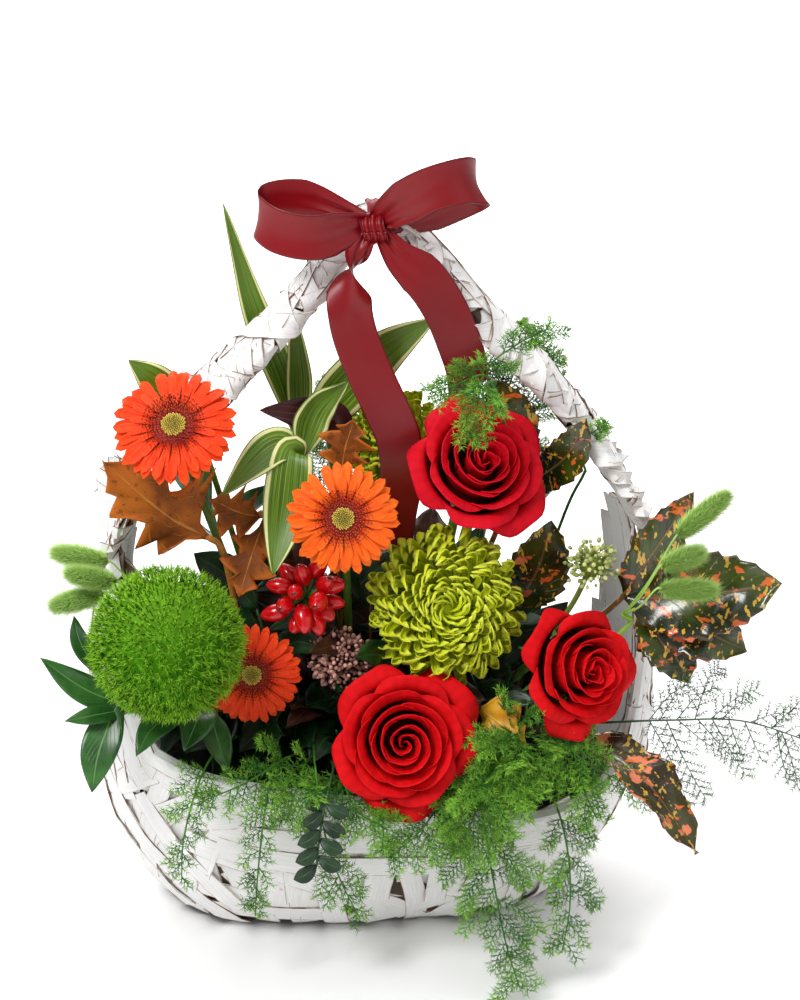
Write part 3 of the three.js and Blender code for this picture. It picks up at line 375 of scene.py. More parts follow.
plainLeaves = {
    "cordyline": {"dark": paint(34, 5, 8), "light": paint(74, 14, 20), "vein": paint(110, 30, 34),
                  "ribs": 1, "coat": 0.0},
    "ruscus": {"dark": paint(24, 70, 22), "light": paint(58, 112, 44), "vein": paint(106, 150, 80),
               "ribs": 9, "coat": 0.15},
    # a darker copy of ruscus for the fill leaves inside the bunch: painted shade
    "ruscusPaintedShade": {"dark": paint(8, 34, 14), "light": paint(26, 66, 28), "vein": paint(60, 96, 54),
                   "ribs": 9, "coat": 0.1},
    "redLeaf": {"dark": paint(34, 10, 8), "light": paint(74, 34, 18), "vein": paint(96, 60, 36),
                "ribs": 5, "coat": 0.0},
}


def veins(across, along, slant, ribs, wide):
    # how far off the midrib, and side veins that leave it at a slant
    off = abs(across - 0.5) * 2
    return off, 1 - abs(((along - off * slant) * ribs).fraction() - 0.5).band(0, wide)


def leafFinish(name, look):
    # a pale midrib, faint side veins and mottling
    made = Finish(name, Roughness=0.35, Coat_Weight=look["coat"], Coat_Roughness=0.2,
                  Specular_IOR_Level=0.45)
    off, side = veins(*made.mapped(), 0.5, look["ribs"], 0.08)
    mottle = made.noise(60, 4)
    rib = 1 - off.band(0.02, 0.07)
    colour = made.mix(mottle.band(0.35, 0.7) + made.tone(), look["dark"], look["light"])
    colour = made.mix(side * 0.25, colour, look["vein"])
    made.give("Base Color", made.mix(rib * 0.75, colour, look["vein"]))
    made.bump(mottle * 0.6 - side * 0.5 - rib, 0.35, 0.0008)


def plainFinish(name, dark, light, share, **constants):
    # from dark to light, by the share that a small function works out on the finish
    made = Finish(name, **constants)
    made.give("Base Color", made.mix(share(made), dark, light))
    return made


def makePlainFinishes():
    stem = plainFinish("stem", paint(52, 96, 22), paint(110, 150, 52), lambda f: f.noise(90), Roughness=0.45)
    stem.bump(stem.noise(90), 0.2)
    plainFinish("hair", paint(126, 182, 40), paint(212, 240, 150),
                lambda f: f.mapped()[1] * 0.8 + f.tone() * 0.3, Roughness=0.8, Specular_IOR_Level=0.15)
    for name, dark, light in (("fern", paint(24, 98, 8), paint(156, 218, 66)),
                              ("fernDark", paint(30, 66, 30), paint(104, 146, 88))):
        plainFinish(name, dark, light, lambda f: f.tone() + f.noise(40) * 0.3 - 0.15, Roughness=0.55)
    for name, dark, light in (("budPink", paint(70, 32, 26), paint(220, 164, 148)),
                              ("budGreen", paint(120, 136, 50), paint(222, 226, 150))):
        bud = plainFinish(name, dark, light, lambda f: f.tone(), Roughness=0.6)
        bud.bump(bud.noise(1200), 0.3)
    plainFinish("rawEdge", paint(112, 78, 52), paint(216, 208, 200),
                lambda f: f.noise(60, 4).band(0.46, 0.6), Roughness=0.8)
    # dark brown behind the strips of the basket and the handle: painted shade in the gaps
    plainFinish("paintedShadeBehind", paint(34, 28, 25), paint(104, 86, 70), lambda f: f.noise(50, 5), Roughness=0.9)
    plainFinish("tray", paint(16, 16, 17), paint(34, 34, 36), lambda f: f.noise(40), Roughness=0.35)
    foam = plainFinish("foam", paint(18, 40, 16), paint(52, 84, 40), lambda f: f.noise(700), Roughness=0.95)
    foam.bump(foam.noise(700), 0.8)
    plainFinish("paleFloor", paint(251, 251, 251), paint(254, 254, 254), lambda f: f.noise(2), Roughness=0.6)


def makeHeadFinishes():
    disc = Finish("disc", Roughness=0.7)
    grain = disc.noise(900)
    along = disc.mapped()[1]
    colour = disc.mix(disc.tone().band(0.15, 0.45), paint(150, 10, 0), paint(120, 100, 20))
    colour = disc.mix((disc.tone() + grain * 0.2).band(0.55, 1.1), colour, paint(226, 204, 90))
    tips = along.band(0.75, 0.95) * (disc.tone() < 0.3) * (disc.tone() > -0.1)  # of the short florets
    disc.give("Base Color", disc.mix(tips * 0.8, colour, paint(252, 170, 70)))
    disc.bump(grain, 0.4)

    bract = Finish("bract", Roughness=0.8, Specular_IOR_Level=0.15)
    along = bract.mapped()[1]
    low = bract.mix(bract.noise(70), paint(30, 88, 2), paint(92, 164, 8))
    bract.give("Base Color", bract.mix(along * 0.75 + bract.tone() * 0.5, low, paint(168, 222, 60)))

    berry = Finish("berry", Roughness=0.2, Coat_Weight=0.25, Coat_Roughness=0.1)
    along = berry.mapped()[1]
    colour = berry.mix(berry.noise(70), paint(168, 0, 10), paint(222, 6, 18))
    berry.give("Base Color", berry.mix(along.band(0.965, 1.0), colour, paint(60, 20, 10)))


def makeLeafFinishes():
    oak = Finish("oakLeaf", Roughness=0.6, Specular_IOR_Level=0.3)
    off, side = veins(*oak.mapped(), 0.28, 7, 0.05)
    fine = oak.noise(260, 4)
    rib = 1 - off.band(0.015, 0.05)
    colour = oak.mix(oak.noise(38, 6).band(0.35, 0.65), paint(112, 54, 8), paint(182, 98, 22))
    colour = oak.mix(off.band(0.6, 1.0) * 0.6, colour, paint(206, 106, 18))
    colour = oak.mix((fine > 0.62) * 0.55, colour, paint(86, 42, 8))
    oak.give("Base Color", oak.mix(side * 0.5 + rib * 0.7, colour, paint(212, 140, 60)))
    oak.bump(fine * 0.4 + side + rib, 0.6, 0.0008)

    gold = Finish("oakGold", Roughness=0.5)
    across = gold.mapped()[0]
    blotch = gold.noise(60, 5)
    rib = 1 - (abs(across - 0.5) * 2).band(0.02, 0.08)
    colour = gold.mix(blotch.band(0.4, 0.6), paint(196, 118, 10), paint(226, 168, 34))
    colour = gold.mix((gold.noise(150) > 0.66) * 0.7, colour, paint(110, 56, 10))
    gold.give("Base Color", gold.mix(rib * 0.6, colour, paint(236, 196, 90)))
    gold.bump(blotch + rib, 0.4)

    croton = Finish("croton", Roughness=0.22, Coat_Weight=0.4, Coat_Roughness=0.12)
    off, side = veins(*croton.mapped(), 0.3, 9, 0.06)
    splash = croton.noise(85, 3, stretch=(1.0, 1.0, 0.8))
    speck = croton.noise(300, 2, stretch=(1.0, 1.0, 0.5))
    flecks = croton.noise(150, 3, stretch=(0.6, 1.0, 1.0))
    rib = 1 - off.band(0.02, 0.06)
    warm = off.band(0.8, 1.0) * 0.5 + croton.tone().band(0.2, 0.9) * 0.6
    colour = croton.mix(croton.noise(30, 4).band(0.4, 0.6), paint(26, 36, 8), paint(62, 76, 18))
    colour = croton.mix(warm, colour, paint(84, 40, 16))
    colour = croton.mix(speck.band(0.6, 0.63), colour, paint(210, 168, 62))
    colour = croton.mix(flecks.band(0.6, 0.63), colour, paint(222, 104, 46))
    splash = splash.band(0.6, 0.64) * croton.tone().band(-0.05, 0.25)
    colour = croton.mix(splash, colour, paint(236, 132, 88))
    croton.give("Base Color", croton.mix(rib * 0.5, colour, paint(150, 100, 60)))
    croton.bump(side * 0.6 + rib + croton.noise(120) * 0.6, 0.5, 0.0012)

    dracaena = Finish("dracaena", Roughness=0.35, Specular_IOR_Level=0.5)
    across, along = dracaena.mapped()
    off = abs(across - 0.5) * 2
    line = dracaena.noise(1, 3, at=(across * 46, along * 1.2))
    colour = dracaena.mix(line.band(0.35, 0.65), paint(50, 86, 6), paint(110, 144, 26))
    colour = dracaena.mix((line > 0.66) * 0.6, colour, paint(190, 196, 96))
    colour = dracaena.mix(off.band(0.76, 0.8), colour, paint(226, 222, 156))
    dracaena.give("Base Color", dracaena.mix(off.band(0.93, 0.97), colour, paint(84, 122, 40)))
    dracaena.bump(line, 0.35, 0.0006)


def makeHolderFinishes():
    wood = Finish("paintedWood", Roughness=0.55, Specular_IOR_Level=0.35)
    across, along = wood.mapped()
    grain = wood.noise(1, 4, at=(across * 26, along * 5, wood.tone() * 40))
    worn = wood.noise(120, 5)
    edge = (abs(across - 0.5) * 2).band(0.9, 1.0)
    colour = wood.mix(grain.band(0.3, 0.75), paint(232, 230, 229), paint(248, 247, 247))
    colour = wood.mix(wood.tone() * 0.3, colour, paint(222, 219, 216))
    colour = wood.mix(edge * (worn.band(0.44, 0.56) * 0.6 + 0.25), colour, paint(150, 116, 90))
    wood.give("Base Color", wood.mix((worn > 0.73) * 0.4, colour, paint(176, 146, 116)))
    wood.bump(grain + worn * 0.5, 0.35, 0.0008)

    satin = Finish("satin", Roughness=0.36, Sheen_Weight=0.05, Sheen_Roughness=0.3, Specular_IOR_Level=0.4,
                   Sheen_Tint=paint(255, 150, 150), Anisotropic=0.5)
    across, along = satin.mapped()
    weave = satin.noise(1, 2, at=(across * 240, along * 60))
    edge = (abs(across - 0.5) * 2).band(0.93, 0.97)
    colour = satin.mix(weave * 0.35, paint(122, 4, 14), paint(152, 14, 28))
    satin.give("Base Color", satin.mix(edge * 0.6, colour, paint(70, 8, 14)))
    satin.bump(weave * 0.4 + edge, 0.2, 0.0003)


for name, look in petals.items():
    petalFinish(name, look)
for name, look in plainLeaves.items():
    leafFinish(name, look)
makePlainFinishes()
makeHeadFinishes()
makeLeafFinishes()
makeHolderFinishes()
print("finishes made")


view = {"place": (-0.1441, -1.5780, 0.8835), "target": (0.0303, 0.0818, 0.2092), "lens": 108, "far": 20}
lamps = {
    "key": {"place": (-0.85, -0.95, 1.6), "aim": (0, 0, 0.18), "size": 0.6, "power": 25},
    "fill": {"place": (1.3, -1.2, 0.9), "aim": (0, 0, 0.18), "size": 1.4, "power": 3},
    "top": {"place": (0.0, 0.3, 1.8), "aim": (0, 0, 0.18), "size": 1.6, "power": 11},
    "back": {"place": (0.4, 2.6, 2.0), "aim": (0.4, 3.4, 0), "size": 3.0, "power": 190},
}
worldLight = 0.42
floorSize = 12


def aimAt(thing, target):
    way = Vector(target) - thing.location
    thing.rotation_euler = way.to_track_quat("-Z", "Y").to_euler()


def makeStage():
    bpy.ops.object.camera_add(location=view["place"])
    camera = bpy.context.object
    aimAt(camera, view["target"])
    camera.data.lens = view["lens"]
    camera.data.clip_end = view["far"]
    bpy.context.scene.camera = camera
    for name, lamp in lamps.items():
        bpy.ops.object.light_add(type="AREA", location=lamp["place"])
        light = bpy.context.object
        light.name = name
        light.data.size = lamp["size"]
        light.data.energy = lamp["power"]
        aimAt(light, lamp["aim"])
    world = bpy.data.worlds.new("studio")
    world.use_nodes = True
    sky = world.node_tree.nodes["Background"]
    sky.inputs["Color"].default_value = (1, 1, 1, 1)
    sky.inputs["Strength"].default_value = worldLight
    bpy.context.scene.world = world
    bpy.context.scene.view_settings.view_transform = "Standard"
    bpy.ops.mesh.primitive_plane_add(size=floorSize, location=(0, 0, 0))
    floor = bpy.context.object
    floor.name = "floor"
    floor.data.materials.append(finishes["paleFloor"].material)


makeStage()
print("stage made")


basket = {
    # half its length to either end, and half its depth, by height
    "left": [(0, 112), (25, 131), (66, 148), (110, 156), (155, 159), (205, 150), (232, 142)],
    "right": [(0, 112), (18, 128), (48, 145), (89, 164), (120, 168), (170, 168), (210, 163), (232, 157)],
    "depth": [(0, 52), (10, 67), (30, 80), (60, 91), (100, 99), (140, 102), (232, 104)],
    "square": 2.6,  # 2 would be an ellipse from above
    # height of the rim by degrees from the right end, the same to the front and the back
    "rim": [(0, 232), (19, 232), (34, 108), (45, 84), (62, 80), (76, 86), (92, 103), (106, 111), (125, 118),
            (141, 130), (147, 188), (152, 232), (180, 232)],
    "foot": 1.2,
    "inset": 3.4,
    "strip": (12, 17),
    "thick": 0.8,
    "bowl": 215,  # strips round the bowl
    "ends": 46,  # and up its two high ends
    "lining": 120,  # and inside
    # level strips under the rim: from and to in degrees, how far below it and how far out
    "level": [(-150, -100, 12, 0.9), (-118, -52, 13, 1.3), (-70, -30, 15, 1.0), (-60, -28, 30, 0.8),
              (-88, -38, 26, 0.5), (30, 96, 14, 1.0), (84, 150, 13, 1.2)],
    # strips folded over the rim: from and to in degrees, how far down they come and how far they stand off
    "folds": [(-153, -27, 7, 0.0), (27, 153, 7, 0.0), (-150, -96, 9, 0.7), (-104, -62, 9.5, 1.0),
              (-66, -31, 8.5, 0.6), (40, 100, 9, 0.8), (92, 149, 9, 0.6)],
}


def wall(turn, height, out=0.0):
    # a place on the basket's outside
    c, s = np.cos(turn), np.sin(turn)
    length = np.where(c > 0, listed(basket["right"], height), listed(basket["left"], height)) + out
    depth = listed(basket["depth"], height) + out
    power = 2 / basket["square"]
    x = length * np.sign(c) * np.abs(c) ** power
    y = depth * np.sign(s) * np.abs(s) ** power
    return np.stack([x, y, np.zeros_like(x) + height], axis=-1)


def rimHeight(turn):
    around = np.degrees(np.abs(np.arctan2(np.sin(turn), np.cos(turn))))
    return np.mean([listed(basket["rim"], around + shift) for shift in (-4, -2, 0, 2, 4)], axis=0)


def wallAxes(turn, height, ahead, behind):
    # the way out of the wall, and the way across a strip that heads from behind to ahead
    level = unit(wall(turn + 0.02, height) - wall(turn - 0.02, height))
    rise = unit(wall(turn, height + 1) - wall(turn, height - 1))
    outward = unit(np.cross(level, rise))
    return outward, unit(np.cross(unit(ahead - behind), outward))


def strip(heap, turns, heights, outs, width, tone, rows=18, tilt=0.0):
    # a chip-wood strip through stops on the wall, lying outs away from it
    u, v, faces = cell(4, rows)
    stops = np.linspace(0, 1, len(turns))
    turn, height = np.interp(v, stops, turns), np.interp(v, stops, heights)
    step = 0.02
    ahead = wall(np.interp(v + step, stops, turns), np.interp(v + step, stops, heights))
    behind = wall(np.interp(v - step, stops, turns), np.interp(v - step, stops, heights))
    outward, side = wallAxes(turn, height, ahead, behind)
    warp = 0.3 * (0.6 - u * u)
    out = np.interp(v, stops, outs) + warp + tilt * u
    place = wall(turn, height) + side * (u * width / 2)[:, None] + outward * out[:, None]
    place[:, 2] = np.maximum(place[:, 2], 0.6)  # none hangs below the underside
    heap.put(place, faces, (u + 1) / 2, v, tone)


def slantingStrip(heap, rng, turn, height, slant, long, out):
    # one strip through a point of the wall, cut where it meets the rim or the underside
    count, middle, fewest = 70, 35, 14  # places along it
    meanRadius, low, below = 135, 1.4, 4
    share = np.linspace(-0.5, 0.5, count)
    bend = slant + rng.uniform(-0.15, 0.15) * share
    turns = turn + share * long * np.cos(bend) / meanRadius
    heights = height + share * long * np.sin(bend)
    rim = np.minimum(rimHeight(turns - 0.05), rimHeight(turns + 0.05))
    inside = (heights > low) & (heights < rim - below)
    if not inside[middle]:
        return
    first, last = 0, count
    if not inside[:middle + 1].all():
        first = middle - int(np.argmin(inside[middle::-1])) + 1
    if not inside[middle:].all():
        last = middle + int(np.argmin(inside[middle:]))
    if last - first < fewest:
        return
    wave = out + 0.6 * np.sin(np.linspace(0, rng.uniform(4, 9), last - first) + rng.uniform(0, 6))
    width, tone, tilt = rng.uniform(*basket["strip"]), rng.uniform(0, 0.8), rng.uniform(-0.7, 0.7)
    strip(heap, turns[first:last], heights[first:last], wave, width, tone, tilt=tilt)


def rimFold(heap, low, high, drop, tone, lift):
    # a broad strip folded over the rim, from one turn to another, in degrees
    u, v, faces = cell(10, 150)
    turn = np.radians(low + (high - low) * v)
    height = rimHeight(turn) + 0.2
    ahead = wall(turn + 0.01, rimHeight(turn + 0.01))
    behind = wall(turn - 0.01, rimHeight(turn - 0.01))
    outward, side = wallAxes(turn, height, ahead, behind)
    down = side * np.where(side[:, 2:] > 0, -1.0, 1.0)
    # across the strip: how far below the rim, and how far out
    below = listed([(-1, drop), (-0.5, drop * 0.3), (-0.25, 1.2), (0, -0.4), (0.25, 1.2), (0.5, drop * 0.3),
                    (1, drop * 0.8)], u) - lift * np.exp(-(u / 0.3) ** 2)
    out = listed([(-1, 0.5), (-0.5, 1.1), (-0.25, 1.0), (0, -1.6), (0.25, -4.4), (0.5, -4.8), (1, -4.4)], u)
    out = out + lift * np.where(u < 0, 1, -1)
    spots = wall(turn, height) + down * below[:, None] + outward * out[:, None]
    heap.put(spots, faces, (u + 1) / 2, v * 3, tone)


def makeShell():
    # a dark sheet that shows through the gaps between the strips, painted shade, and the underside
    shell = Heap()
    u, v, faces = cell(120, 14)
    turn = u * math.pi
    foot = basket["foot"]
    top = rimHeight(turn) - 4
    shell.put(wall(turn, foot + (top - foot) * v) * (0.98, 0.97, 1), faces, u, v)
    shell.put(wall(turn, foot, -2.4) * np.stack([v, v, v * 0 + 1], axis=1), faces, u, v)
    shell.piece("basketShell", ["basket"], "painted_wood", [finishes["paintedShadeBehind"]], thick=1.0)


def makeBasket():
    rng = np.random.default_rng(7)
    heap = Heap()
    for k in range(basket["bowl"]):
        turn = (k * golden) % (2 * math.pi)
        height = rimHeight(turn) * ((k * 0.7549) % 1) * 0.98 + 2
        if k % 7 < 4:
            slant = rng.uniform(0.35, 1.1) * rng.choice((-1, 1))  # across the wall
        elif k % 7 < 5:
            slant = rng.uniform(-0.25, 0.25)  # level
        else:
            slant = rng.uniform(1.25, 1.85)  # upright
        slantingStrip(heap, rng, turn, height, slant, rng.uniform(70, 160), -2.3 + 3.3 * k / basket["bowl"])
    for k in range(basket["ends"]):
        turn = (k % 2) * math.pi + rng.uniform(-0.5, 0.5)
        slantingStrip(heap, rng, turn, rng.uniform(110, 215), rng.uniform(0.9, 2.2), rng.uniform(120, 220),
                      -1.6 + 2.2 * k / basket["ends"])
    stops = 40
    for low, high, below, out in basket["level"]:
        span = np.radians(np.linspace(low, high, stops))
        strip(heap, span, rimHeight(span) - below, np.full(stops, out), 13, rng.uniform(0, 0.5), rows=50)
    for low, high, drop, lift in basket["folds"]:
        rimFold(heap, low, high, drop, rng.uniform(0, 0.5), lift)
    for k in range(basket["lining"]):
        turn = (k + rng.uniform(-0.5, 0.5)) / basket["lining"] * 2 * math.pi
        lean = rng.uniform(-0.4, 0.4) * (0.12 if rimHeight(turn) > 150 else 1)
        top = min(rimHeight(turn + lean), rimHeight(turn)) - 3
        out = -basket["inset"] - rng.uniform(0.4, 1.6)
        strip(heap, (turn, turn + lean), (62, max(top, 66)), (out, out), rng.uniform(*basket["strip"]),
              rng.uniform(0.2, 1))
    heap.piece("basketStrips", ["basket"], "painted_wood", [finishes["paintedWood"], finishes["rawEdge"]],
               thick=basket["thick"], rim=True)


makeShell()
makeBasket()
print("basket made")

handle = {
    # the hoop's middle line, and half its width and thickness by the share of its length
    "line": [(-139, 232), (-131, 247), (-108, 281), (-82, 314), (-66, 331), (-46, 351), (-30, 369),
             (-19, 384), (-7, 400), (6, 409), (20, 404), (42, 382), (62, 357), (84, 334), (107, 309),
             (128, 281), (145, 253), (154, 232)],
    "width": [(0, 59), (0.06, 52), (0.2, 28), (0.33, 15), (0.45, 9), (0.55, 9), (0.67, 15), (0.8, 27),
              (0.94, 42), (1, 45)],
    "thick": [(0, 2.6), (0.06, 4), (0.2, 8), (0.4, 8.5), (0.46, 7.5), (0.56, 7.5), (0.62, 8.5), (0.8, 9),
              (0.94, 5), (1, 2.6)],
    "dish": 250,  # radius to which its broad feet bend round the basket
    "wraps": 96,  # strips wound round it, by turns left and right
    "long": 34,  # strips that run with it on its front and back
    "tongues": 60,  # cut ends that stand out at its edges
    "bare": (0.45, 0.54),  # under the bow, where no ends stand out
    "strip": (13, 17),
    "wood": 0.7,
}


def hoop(share, angle, out=0.0):
    # a place on the hoop's skin, at an angle round it
    share = np.clip(share, 0.0, 1.0)
    place, heading = alongCurve([(x, 0, z) for x, z in handle["line"]], share)
    away = unit(np.cross(heading, (0.0, -1.0, 0.0)))
    c, s = np.cos(angle), np.sin(angle)
    power = 0.8  # a little squarer than an ellipse
    across = np.sign(c) * np.abs(c) ** power * (listed(handle["width"], share) + out)
    push = np.sign(s) * np.abs(s) ** power * (listed(handle["thick"], share) + out)
    dish = across**2 / handle["dish"] * np.maximum(0, 1 - 4 * np.minimum(share, 1 - share))
    return place + across[..., None] * np.array((0, 1.0, 0)) + away * (push - dish)[..., None]


def winding(middle, reach, angle, turn, start=0.0):
    # a strip's way over the hoop: share of the hoop and angle round it, by the share along the strip
    def path(b):
        return middle + reach * (b - 0.5), angle + turn * (b - start)
    return path


def chip(heap, path, width, tone, out, tilt, tip=False):
    # a flat strip over the hoop along a path, cut to a tongue at its tip where asked
    a, b, faces = cell(4, 24)
    share, angle = path(b)
    heading = unit(hoop(*path(b + 0.03)) - hoop(*path(b - 0.03)))
    along = unit(hoop(share + 0.01, angle) - hoop(share - 0.01, angle))
    outward = unit(np.cross(hoop(share, angle + 0.08) - hoop(share, angle - 0.08), along))
    side = unit(np.cross(heading, outward))
    narrow = np.clip((1 - b) * 3.5, 0.06, 1) ** 0.8 if tip else 1.0
    rise = out + tilt * a + 0.25 * (0.6 - a * a)
    spots = hoop(share, angle) + side * (a * width / 2 * narrow)[:, None] + outward * rise[:, None]
    middle = len(a) // 2
    facesOut = np.cross(side, heading)[middle] @ outward[middle] > 0
    heap.put(spots, faces if facesOut else [f[:, ::-1] for f in faces], (a + 1) / 2, b, tone)


def makeHandle():
    rng = np.random.default_rng(11)
    # the hoop's core, dark: painted shade where it shows between the strips
    core = Heap()
    u, v, faces = cell(24, 90)
    core.put(hoop(v, -u * math.pi, -1.5), faces, u, v)
    core.piece("handleCore", ["handle"], "painted_wood", [finishes["paintedShadeBehind"]])

    heap = Heap()
    count = handle["wraps"]
    for k in range(count):
        middle = (k + rng.uniform(-0.3, 0.3)) / count
        reach, turn = rng.uniform(0.03, 0.085), rng.uniform(3.2, 4.8) * (1 if k % 2 else -1)
        path = winding(middle, reach, rng.uniform(0, 2 * math.pi), turn)
        layer = -0.9 + 1.7 * ((k * 7) % count) / count
        chip(heap, path, rng.uniform(*handle["strip"]), rng.uniform(0, 0.8), layer, rng.uniform(-0.5, 0.5))
    for k in range(handle["long"]):
        middle, reach, drift = rng.uniform(0.02, 0.98), rng.uniform(0.1, 0.17), rng.uniform(-1.2, 1.2)
        angle = rng.choice((0.5, 1.5)) * math.pi + rng.uniform(-0.9, 0.9)
        chip(heap, winding(middle, reach, angle, drift, 0.5), rng.uniform(10, 14), rng.uniform(0, 0.8),
             rng.uniform(-0.7, 0.7), rng.uniform(-0.4, 0.4))
    for k in range(handle["tongues"]):
        middle = 0.03 + 0.94 * (k + rng.uniform(-0.3, 0.3)) / handle["tongues"]
        if handle["bare"][0] < middle < handle["bare"][1]:
            continue
        edge, way = (0.0, -1) if k % 2 else (math.pi, 1)
        lean, reach = rng.uniform(-0.04, 0.04), rng.uniform(1.2, 1.9)
        path = winding(middle, lean, edge + way * reach, -way * (reach + 0.1))
        chip(heap, path, rng.uniform(*handle["strip"]), rng.uniform(0, 0.5), 1.0 + rng.uniform(0, 0.9),
             rng.uniform(-0.7, 0.7), tip=True)
    heap.piece("handleStrips", ["handle"], "painted_wood", [finishes["paintedWood"], finishes["rawEdge"]],
               thick=handle["wood"], rim=True)


makeHandle()
print("handle made")


bow = {
    "width": 25,
    "loopLeft": [(2, -19, 411), (-1, -21, 412), (-14, -28, 411), (-26, -33, 410), (-38, -33, 411),
                 (-50, -28, 414), (-57, -17, 418), (-53, -9, 421), (-42, -7, 423), (-28, -8, 422),
                 (-13, -12, 418), (2, -16, 413)],
    "loopRight": [(8, -19, 411), (10, -21, 416), (19, -28, 425), (32, -33, 434), (45, -33, 438),
                  (56, -28, 438), (63, -18, 433), (59, -10, 426), (48, -8, 420), (35, -9, 415),
                  (19, -12, 411), (8, -16, 411)],
    "tailLeft": [(3, -20, 410), (-3, -24, 400), (-8, -27, 387), (-9, -28, 370), (-6, -28, 352),
                 (2, -29, 330), (11, -30, 309), (18, -29, 290), (20, -25, 266), (17, -18, 240),
                 (14, -12, 214)],
    "tailRight": [(8, -20, 410), (19, -25, 395), (33, -27, 382), (44, -25, 364), (52, -21, 344),
                  (57, -14, 328), (60, -3, 310)],
    # the knot and the turn round the hoop: bands round x, with half their depth and height
    "knot": {"centre": (5, -18.5, 409.5), "half": (6.8, 8.2), "long": 13, "sway": 1.2, "pleats": 22,
             "twist": 1, "deep": 0.8},
    "turn": {"centre": (8, 0, 408.6), "half": (11.9, 12.0), "long": 10, "sway": 0, "pleats": 14,
             "twist": 0, "deep": 0.4},
    "thick": 0.35,
}


def ribbonRun(heap, points, across, width, pleat, roll, phase, turnOver=None):
    # the satin along points, its width held near the way across. Pleats die out away from the knot, and
    # turnOver is where the satin shows its other side
    u, v, faces = cell(18, 84)
    place, heading = alongCurve(points, v)
    guide = np.array(across, float)
    side = unit(guide - heading * (heading @ guide)[:, None])
    lift = np.cross(side, heading)
    if turnOver:
        angle = math.pi * ease(turnOver[0], turnOver[1], v)
        side, lift = (side * np.cos(angle)[:, None] + lift * np.sin(angle)[:, None],
                      lift * np.cos(angle)[:, None] - side * np.sin(angle)[:, None])
    near = np.minimum(v, 1 - v) if pleat["both"] else v
    fold = pleat["deep"] * np.exp(-near * pleat["fade"])
    height = fold * np.sin(u * 8 + phase) + roll * (u * u - 0.4) + 0.5 * np.sin(v * 13 + u * 1.5 + phase)
    reach = width(v)
    spots = place + side * (u * reach)[:, None] + lift * height[:, None]
    heap.put(spots, faces, (u + 1) / 2, v * 8, 0.0)


def ribbonBand(heap, band):
    u, v, faces = cell(26, 30)
    around = u * math.pi
    (x, y, z), (deep, high) = band["centre"], band["half"]
    across = x + (v - 0.5) * band["long"] + band["sway"] * np.sin(around * 2)
    spots = np.stack([across, y + deep * np.cos(around), z + high * np.sin(around)], axis=1)
    outward = np.stack([v * 0, np.cos(around), np.sin(around)], axis=1)
    pleats = np.sin(v * band["pleats"] + band["twist"] * around) * band["deep"]
    heap.put(spots + pleats[:, None] * outward, faces, v, u + 1, 0.2)


def makeBow():
    heap = Heap()
    half = bow["width"] / 2

    def loopWidth(share):
        return half * np.minimum(1, 0.3 + 3.4 * np.minimum(share, 1 - share))

    def tailWidth(share):
        return half * np.minimum(1, 0.34 + 2.4 * share)

    tight = {"deep": 2.0, "fade": 11, "both": True}
    loose = {"deep": 1.8, "fade": 9, "both": False}
    ribbonRun(heap, bow["loopLeft"], (0.12, 0, 1), loopWidth, tight, 1.2, 0.4)
    ribbonRun(heap, bow["loopRight"], (-0.3, 0, 1), loopWidth, tight, -1.2, 1.3)
    ribbonRun(heap, bow["tailLeft"], (1, 0.1, 0.1), tailWidth, loose, 0.6, 2.0, (0.05, 0.34))
    ribbonRun(heap, bow["tailRight"], (1, 0.25, 0.3), tailWidth, loose, -0.8, 0.9)
    ribbonBand(heap, bow["knot"])
    ribbonBand(heap, bow["turn"])
    return heap.piece("ribbonBow", ["ribbon_bow"], "ribbon_satin", [finishes["satin"]], thick=bow["thick"])


ribbonBow = makeBow()
print("bow made")


foamTop = 92
stemDepth = 28
stemRadius = {"rose": 2.8, "gerbera": 2.3, "mum": 2.6, "dianthus": 2.2, "grass": 1.4, "leaf": 1.5,
              "berry": 1.7, "bud": 1.6, "fern": 1.1}


def stemTo(heap, points, spot, kind):
    # a stem through points and straight down into its hole in the foam
    line = [*points, (*spot, foamTop + 14), (*spot, foamTop - stemDepth + 2)]
    tube(heap, line, stemRadius[kind], steps=26)


def backOf(bloom):
    # centre of a round head, and the way to its stem
    return np.array(bloom["centre"], float), -unit(np.array(bloom["facing"], float))


roses = {
    "rose_front": {"centre": (12, -104, 141), "facing": (0, -0.93, 0.36), "radius": 42, "turn": 0.3,
                   "spot": (6, -37), "finish": "rose", "slot": "rose_petal", "petals": 30, "loose": 0.0},
    "rose_right": {"centre": (113, -91, 174), "facing": (0.42, -0.86, 0.28), "radius": 36, "turn": 1.2,
                   "spot": (53, -33), "finish": "rose", "slot": "rose_petal", "petals": 26, "loose": 1.0},
    "rose_top": {"centre": (62, -44, 278), "facing": (0.12, -0.78, 0.62), "radius": 40, "turn": 2.1,
                 "spot": (30, -1), "finish": "roseTop", "slot": "rose_petal_crimson", "petals": 27,
                 "loose": 0.5},
}
sepals = 5
petalThick = 0.5
# how high a petal's rim stands and how flat it opens, by how far out it is, in bloom radii
rimLift = [(0, 0.4), (0.16, 0.5), (0.34, 0.53), (0.56, 0.43), (0.8, 0.22), (1, -0.04)]
rimOpen = [(0, 0.0), (0.3, 0.12), (0.6, 0.35), (0.85, 0.75), (1, 1.0)]


